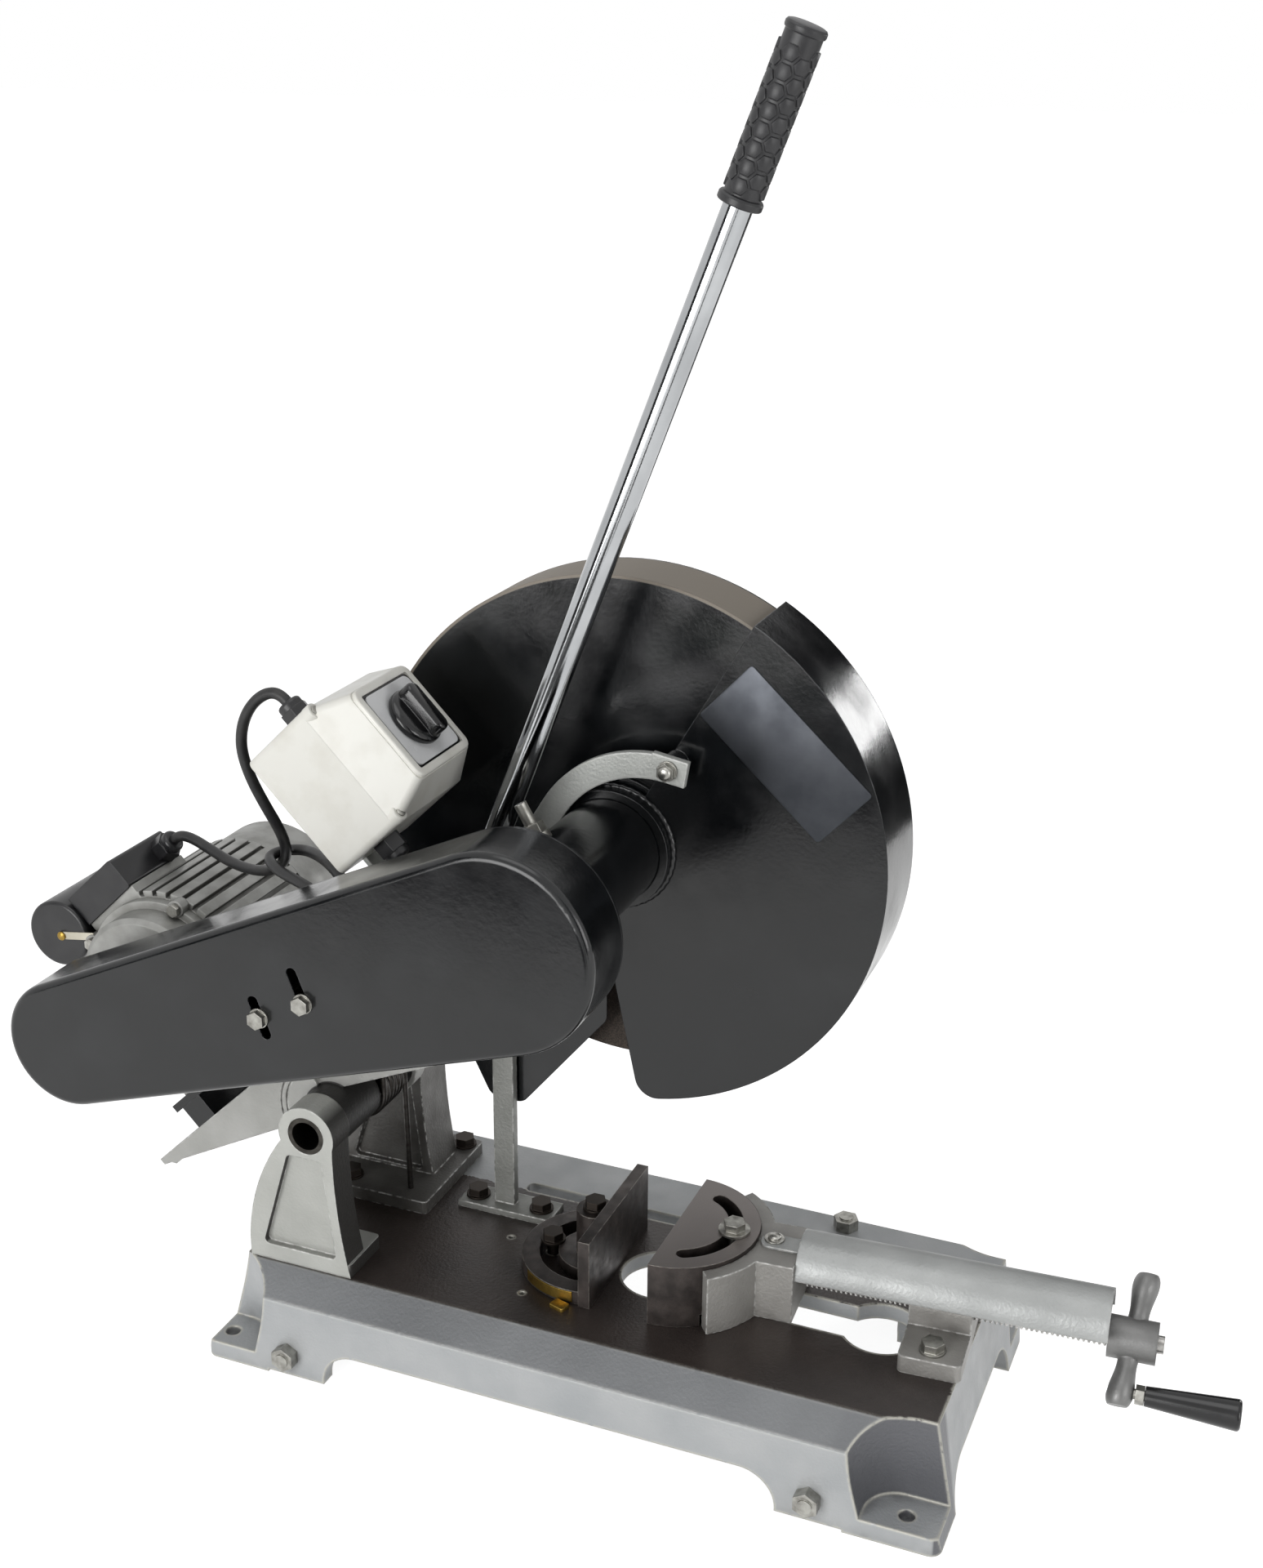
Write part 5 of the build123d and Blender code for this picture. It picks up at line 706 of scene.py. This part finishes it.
def machined_iron(name):
    """Cast iron milled flat and left bare: brown-black with oil, brighter where work has rubbed it."""
    material, tree, shader, place = start_material(name)
    normal = relief(tree, shader, blotches(tree, place, 1.4, stretch=(1, 0.15, 1)), 0.05, 1.2)
    tone = blotches(tree, place, 18, 0.35)
    rubbed = worn_edges(tree, place, normal, (6, 0.3, 0.6))
    layered(tree, shader, "Base Color", linear("#2a2523"),
            (tone, linear("#4a4340")), (rubbed, linear("#8f8a83")))
    layered(tree, shader, "Roughness", 0.34, (blotches(tree, place, 10), 0.55))
    shader.inputs["Metallic"].default_value = 0.5
    return material


def black_enamel(name):
    """Stoved black enamel on pressed sheet: glossy with a faint orange-peel, smeared with grinding dust."""
    material, tree, shader, place = start_material(name)
    normal = relief(tree, shader, blotches(tree, place, 4), 0.03, 1.2)
    dust = blotches(tree, place, 70, 0.5, 0.8)
    worn = worn_edges(tree, place, normal, (7, 0.45, 0.65))
    layered(tree, shader, "Base Color", tuple(bpy.context.scene.saw_colours.guard),
            (dust, linear("#1b1d1f")), (worn, linear("#45464a")))
    layered(tree, shader, "Roughness", 0.12, (blotches(tree, place, 40, 0.3, 0.75), 0.28))
    return material


def plated_steel(name, clean, dull, gloss, matt, pitch_mm=6):
    """Plated or turned steel: bright metal with cloudy handling marks and softened edges."""
    material, tree, shader, place = start_material(name)
    relief(tree, shader, blotches(tree, place, 0.8), 0.01, 0.7)
    cloud = blotches(tree, place, pitch_mm, 0.35)
    layered(tree, shader, "Base Color", linear(clean), (cloud, linear(dull)))
    layered(tree, shader, "Roughness", gloss, (cloud, matt))
    shader.inputs["Metallic"].default_value = 1.0
    return material


def moulded_plastic(name, tone, worn, gloss, matt):
    """Injection-moulded plastic: an even colour with a fine skin, a few greasy patches and soft edges."""
    material, tree, shader, place = start_material(name)
    relief(tree, shader, blotches(tree, place, 0.8), 0.02, 1)
    grease = blotches(tree, place, 25, 0.45, 0.75)
    layered(tree, shader, "Base Color", tone, (grease, worn))
    layered(tree, shader, "Roughness", gloss, (grease, matt))
    return material


def cast_aluminium(name, tone, dull):
    """Die-cast aluminium under thin silver paint: a soft metallic grey with a grainy skin and painted shade
    in its corners.
    """
    material, tree, shader, place = start_material(name)
    relief(tree, shader, blotches(tree, place, 1.8), 0.08, 1.6)
    cloud = blotches(tree, place, 22, 0.35)
    # The dark grey laid in corners is painted shade.
    layered(tree, shader, "Base Color", linear(tone),
            (cloud, linear(dull)), (painted_corner_shade(tree, 14, 0.7), linear("#4a4844")))
    layered(tree, shader, "Roughness", 0.42, (cloud, 0.56))
    shader.inputs["Metallic"].default_value = 0.55
    return material


def bonded_abrasive():
    """Resin-bonded grit: a rough dark brown-grey disc with sparkling grains."""
    material, tree, shader, place = start_material("bonded_abrasive")
    cells = add_node(tree, "TexVoronoi", {"Vector": place, "Scale": grain(1.5)}).outputs["Distance"]
    layered(tree, shader, "Base Color", linear("#2a2624"), (cells, linear("#5a5048")))
    shader.inputs["Roughness"].default_value = 0.85
    relief(tree, shader, cells, 0.4)
    return material


PIVOT_MM = (-218, 0, 222)
HUB_RADIUS_MM = 26.0
RIM_RADIUS_MM = 217.0
RIM_FROM_MM = 540
OILY_TO_MM = 150


class SAW_OT_finishes(bpy.types.Operator):
    """Give every piece of the frame its finish"""

    bl_idname = "saw.finishes"
    bl_label = "Finishes"

    def execute(self, context):
        ivory = tuple(context.scene.saw_colours.switch)
        near_side = casting_enamel("near_casting_enamel_shaded_side", "#b8b9b4", "#a8a9a4", 0.85)
        # Dark grey on the faces that look right: painted shade on the pedestal's side under the head.
        over_painted(near_side, towards(near_side.node_tree, RIGHT), linear("#3b3a38"), 0.5)
        rocker = casting_enamel("rocker_enamel", "#b0b0ad", "#9d9d99", 0.85)
        hub = beyond(rocker.node_tree, PIVOT_MM, HUB_RADIUS_MM, -SOFT_RING_MM)
        over_painted(rocker, hub, linear("#2b2a29"), 0.45)
        guard = black_enamel("guard_enamel_with_bare_rim")
        rim = beyond(guard.node_tree, SPINDLE_MM, RIM_RADIUS_MM)
        upper = past(guard.node_tree, "Z", RIM_FROM_MM)
        bare_rim = add_node(guard.node_tree, "Math", {0: rim, 1: upper}, operation="MULTIPLY").outputs[0]
        over_painted(guard, bare_rim, linear("#857d72"), 0.6)
        jaw = machined_iron("turned_jaw_iron_lit_top")
        # Lighter grey on the faces that look up: a painted highlight on the turned top.
        over_painted(jaw, towards(jaw.node_tree, UP), linear("#7a7471"), 0.4)
        bolts = plated_steel("oily_zinc_steel", "#a9a8a2", "#7d7b76", 0.28, 0.45)
        over_painted(bolts, past(bolts.node_tree, "X", OILY_TO_MM, -2), linear("#3a3531"), 0.5)
        black_plastic = moulded_plastic("black_nylon", linear("#1b1b1d"), linear("#2a2a2b"), 0.32, 0.5)
        plate = moulded_plastic("silvered_plate", linear("#dfe0e1"), linear("#d2d3d4"), 0.22, 0.32)
        gloss_black = moulded_plastic("crank_grip_plastic", linear("#0e0e10"), linear("#161618"), 0.14, 0.24)
        finishes = {
            bed_enamel(): ["bed_casting"],
            casting_enamel("grey_casting_enamel", "#b2b4b3", "#a0a2a1", 0.85): ["screw_cover"],
            casting_enamel("carrier_enamel", "#9c9a96", "#8a8884", 0.9): ["jaw_carrier", "screw_bracket"],
            near_side: ["near_pedestal"],
            # A darker copy of the casting enamel: painted shade for the far pedestal under the head, with
            # oily grime.
            casting_enamel("shaded_oily_casting_enamel", "#6f6e6b", "#4b4946", 0.9): ["far_pedestal"],
            rocker: ["rocker_arm"],
            casting_enamel("dusty_post_enamel", "#8e8f8b", "#757671", 0.9): ["link_post"],
            casting_enamel("silver_enamel", "#c6c8c4", "#b6b8b4", 0.7): ["guard_link", "switch_bracket"],
            machined_iron("oiled_machined_iron"): ["swivel_fence"],
            jaw: ["moving_jaw"],
            bolts: ["bed_bolts"],
            cast_aluminium("crank_aluminium", "#7e7e7d", "#6e6e6d"): ["crank_arm"],
            black_enamel("stoved_black_enamel"): [
                "guard_side_cover", "swing_guard", "belt_cover", "belt_back_plate", "spindle_housing",
                "motor_plate"],
            guard: ["fixed_guard"],
            plated_steel("zinc_plated_steel", "#a9a8a2", "#7d7b76", 0.28, 0.45): [
                "bed_studs", "head_bolts", "cover_screws", "lock_stud", "jaw_clamp_bolt", "link_bolt",
                "crank_pin"],
            plated_steel("oiled_tube_steel", "#45433f", "#2f2d2a", 0.35, 0.5): ["pivot_tube"],
            plated_steel("turned_steel", "#b4b3b0", "#8f8d8a", 0.22, 0.36): [
                "spindle_shaft", "spindle_bearings", "spindle_pulley", "motor_pulley", "motor_rotor",
                "motor_stator", "vise_screw", "wheel_flanges", "spindle_nut"],
            plated_steel("oiled_spring_steel", "#4c4a48", "#35322f", 0.35, 0.55): ["torsion_spring"],
            plated_steel("bush_bronze", "#a9824c", "#7d6038", 0.3, 0.45): ["pivot_bushes"],
            plated_steel("chromed_tube", "#b2b4b6", "#a2a4a6", 0.06, 0.13, 40): ["handle_tube"],
            cast_aluminium("cast_aluminium", "#a3a3a0", "#8b8b87"): [
                "motor_housing", "motor_bells", "fan_cover"],
            moulded_plastic("ivory_abs", ivory, linear("#dddbd2"), 0.3, 0.42): ["switch_box", "switch_lid"],
            black_plastic: [
                "cable_glands", "capacitor", "terminal_box", "switch_knob", "mains_plug", "motor_fan"],
            plate: ["switch_plate"],
            moulded_plastic("belt_rubber", linear("#19191a"), linear("#262524"), 0.6, 0.75): ["drive_belts"],
            gloss_black: ["crank_grip"],
            bonded_abrasive(): ["abrasive_wheel"],
        }
        for material, names in finishes.items():
            for name in names:
                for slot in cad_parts[name].material_slots:
                    slot.material = material
        return {"FINISHED"}


# Camera and stage

CAMERA_MM = (557.4, -1339.5, 1064.8)
CAMERA_TURN = math.radians(22.022)
CAMERA_RISE = math.radians(20.645)
CAMERA_ROLL = math.radians(0.464)
LENS_MM = 45.872
SENSOR_MM = 36.0


class SAW_OT_camera(bpy.types.Operator):
    """Place the camera at the reference view"""

    bl_idname = "saw.camera"
    bl_label = "Camera"

    def execute(self, context):
        back = Vector((math.sin(CAMERA_TURN) * math.cos(CAMERA_RISE),
                       -math.cos(CAMERA_TURN) * math.cos(CAMERA_RISE), math.sin(CAMERA_RISE)))
        level = Vector((math.cos(CAMERA_TURN), math.sin(CAMERA_TURN), 0))
        upright = back.cross(level)
        right = level * math.cos(CAMERA_ROLL) + upright * math.sin(CAMERA_ROLL)
        up = upright * math.cos(CAMERA_ROLL) - level * math.sin(CAMERA_ROLL)
        data = bpy.data.cameras.new("camera")
        data.lens = LENS_MM
        data.sensor_width = SENSOR_MM
        camera = bpy.data.objects.new("camera", data)
        placed = Matrix((right, up, back)).transposed().to_4x4()
        placed.translation = Vector(CAMERA_MM) * MM
        camera.matrix_world = placed
        context.scene.collection.objects.link(camera)
        context.scene.camera = camera
        return {"FINISHED"}


FLOOR_HALF = 30.0
FLOOR_SHOWN = 0.88
SURROUND_SHOWN = 1.0
SURROUND_SHED = 0.2
# Lamps: name, place in m, side in m and power in W
LAMPS = (
    ("front_softbox", (-0.9, -3.0, 0.75), 2.0, 73),
    ("right_softbox", (2.7, -1.1, 0.9), 1.3, 20),
    ("top_softbox", (0.0, -0.4, 2.9), 1.6, 12),
    ("back_softbox", (1.2, 2.25, 0.85), 0.55, 7),
)
LAMP_AIM = Vector((0, 0, 0.35))
# Dark cards: name, place in m, the point that they face, the way that is up, half width and half height
CARDS = (
    ("dark_card_left", (-1.7, -1.9, 0.9), (0, 0, 0.9), UP, 0.45, 1.1),
    ("dark_card_right", (1.75, -1.75, 0.9), (0, 0, 0.9), UP, 0.4, 1.1),
    ("dark_card_back", (1.3, 2.9, 0.9), (0, 0, 0.9), UP, 1.9, 1.2),
    ("dark_strip_back", (1.3, 2.2, 0.016), (1.3, 2.2, 1), BACK, 1.9, 0.7),
    ("dark_card_floor", (-0.35, -1.55, 0.01), (-0.35, -1.55, 1), BACK, 0.6, 0.4),
    ("dark_strip_left", (-0.95, -2.3, 0.012), (-0.95, -2.3, 1), (0.4, 1, 0), 0.22, 1.2),
    ("dark_strip_right", (0.95, -2.3, 0.014), (0.95, -2.3, 1), (-0.45, 1, 0), 0.12, 1.2),
)


def white_to_the_eye(tree, shown, shed):
    """Strength that is one value for camera, mirror and glass rays, and another for the light it sheds."""
    rays = add_node(tree, "LightPath").outputs
    seen = rays["Is Camera Ray"]
    for name in ("Is Glossy Ray", "Is Transmission Ray"):
        seen = add_node(tree, "Math", {0: seen, 1: rays[name]}, operation="MAXIMUM").outputs[0]
    return add_node(tree, "MapRange", {0: seen, 3: shed, 4: shown}).outputs[0]


class SAW_OT_stage(bpy.types.Operator):
    """Set a pale floor, a white surround, dark cards and soft lamps"""

    bl_idname = "saw.stage"
    bl_label = "Stage"

    def matt_sheet(self, context, name, colour, placed):
        """A flat matt sheet of the stage, with its material's tree and shader."""
        mesh = bpy.data.meshes.new(name)
        shape = bmesh.new()
        bmesh.ops.create_grid(shape, x_segments=1, y_segments=1, size=1, matrix=placed)
        shape.to_mesh(mesh)
        shape.free()
        sheet = bpy.data.objects.new(name, mesh)
        context.scene.collection.objects.link(sheet)
        material, tree, shader, _ = start_material(name)
        shader.inputs["Base Color"].default_value = linear(colour)
        shader.inputs["Roughness"].default_value = 0.9
        mesh.materials.append(material)
        return sheet, tree, shader

    def execute(self, context):
        _, tree, shader = self.matt_sheet(context, "floor", "#d2d2d1", Matrix.Scale(FLOOR_HALF, 4))
        shader.inputs["Emission Color"].default_value = (1, 1, 1, 1)
        tree.links.new(white_to_the_eye(tree, FLOOR_SHOWN, 0.0), shader.inputs["Emission Strength"])
        for name, place, facing, side, half_wide, half_tall in CARDS:
            placed = laid(Vector(place) / MM, Vector(facing) - Vector(place), side)
            spread = Matrix.Diagonal((half_tall, half_wide, 1, 1))
            card = self.matt_sheet(context, name, "#262626", placed @ spread)[0]
            card.visible_camera = False
            card.visible_diffuse = False
            card.visible_shadow = False
        world = bpy.data.worlds.new("white_surround")
        world.use_nodes = True
        tree = world.node_tree
        surround = tree.nodes["Background"]
        surround.inputs["Color"].default_value = (1, 1, 1, 1)
        tree.links.new(white_to_the_eye(tree, SURROUND_SHOWN, SURROUND_SHED), surround.inputs["Strength"])
        context.scene.world = world
        for name, place, side, power in LAMPS:
            data = bpy.data.lights.new(name, "AREA")
            data.size = side
            data.energy = power
            lamp = bpy.data.objects.new(name, data)
            placed = (Vector(place) - LAMP_AIM).to_track_quat("Z", "Y").to_matrix().to_4x4()
            placed.translation = Vector(place)
            lamp.matrix_world = placed
            lamp.visible_camera = False
            context.scene.collection.objects.link(lamp)
        context.scene.view_settings.view_transform = "Standard"
        return {"FINISHED"}


class SAW_PT_panel(bpy.types.Panel):
    """Shows the saw's steps and settings in the sidebar"""

    bl_label = "Saw"
    bl_idname = "SAW_PT_panel"
    bl_space_type = "VIEW_3D"
    bl_region_type = "UI"
    bl_category = "Saw"

    def draw(self, context):
        for operator in OPERATORS:
            self.layout.operator(operator.bl_idname)
        for group in (context.scene.saw_sizes, context.scene.saw_colours):
            for name in group.bl_rna.properties.keys():
                if name not in ("rna_type", "name"):
                    self.layout.prop(group, name)


OPERATORS = (
    SAW_OT_camera, SAW_OT_leads, SAW_OT_grip, SAW_OT_switch, SAW_OT_trim, SAW_OT_finishes, SAW_OT_stage)
GROUPS = (SawSizes, SawColours)


def register():
    """Register the classes and the scene's settings."""
    for part in GROUPS + OPERATORS + (SAW_PT_panel,):
        bpy.utils.register_class(part)
    bpy.types.Scene.saw_sizes = bpy.props.PointerProperty(type=SawSizes)
    bpy.types.Scene.saw_colours = bpy.props.PointerProperty(type=SawColours)


def unregister():
    """Remove the scene's settings and the classes."""
    del bpy.types.Scene.saw_colours
    del bpy.types.Scene.saw_sizes
    for part in reversed(GROUPS + OPERATORS + (SAW_PT_panel,)):
        bpy.utils.unregister_class(part)


def main():
    """Register the classes and make every piece in order."""
    register()
    bpy.ops.saw.camera()
    bpy.ops.saw.leads()
    bpy.ops.saw.grip()
    bpy.ops.saw.switch()
    bpy.ops.saw.trim()
    bpy.ops.saw.finishes()
    bpy.ops.saw.stage()


if __name__ == "__main__":
    main()
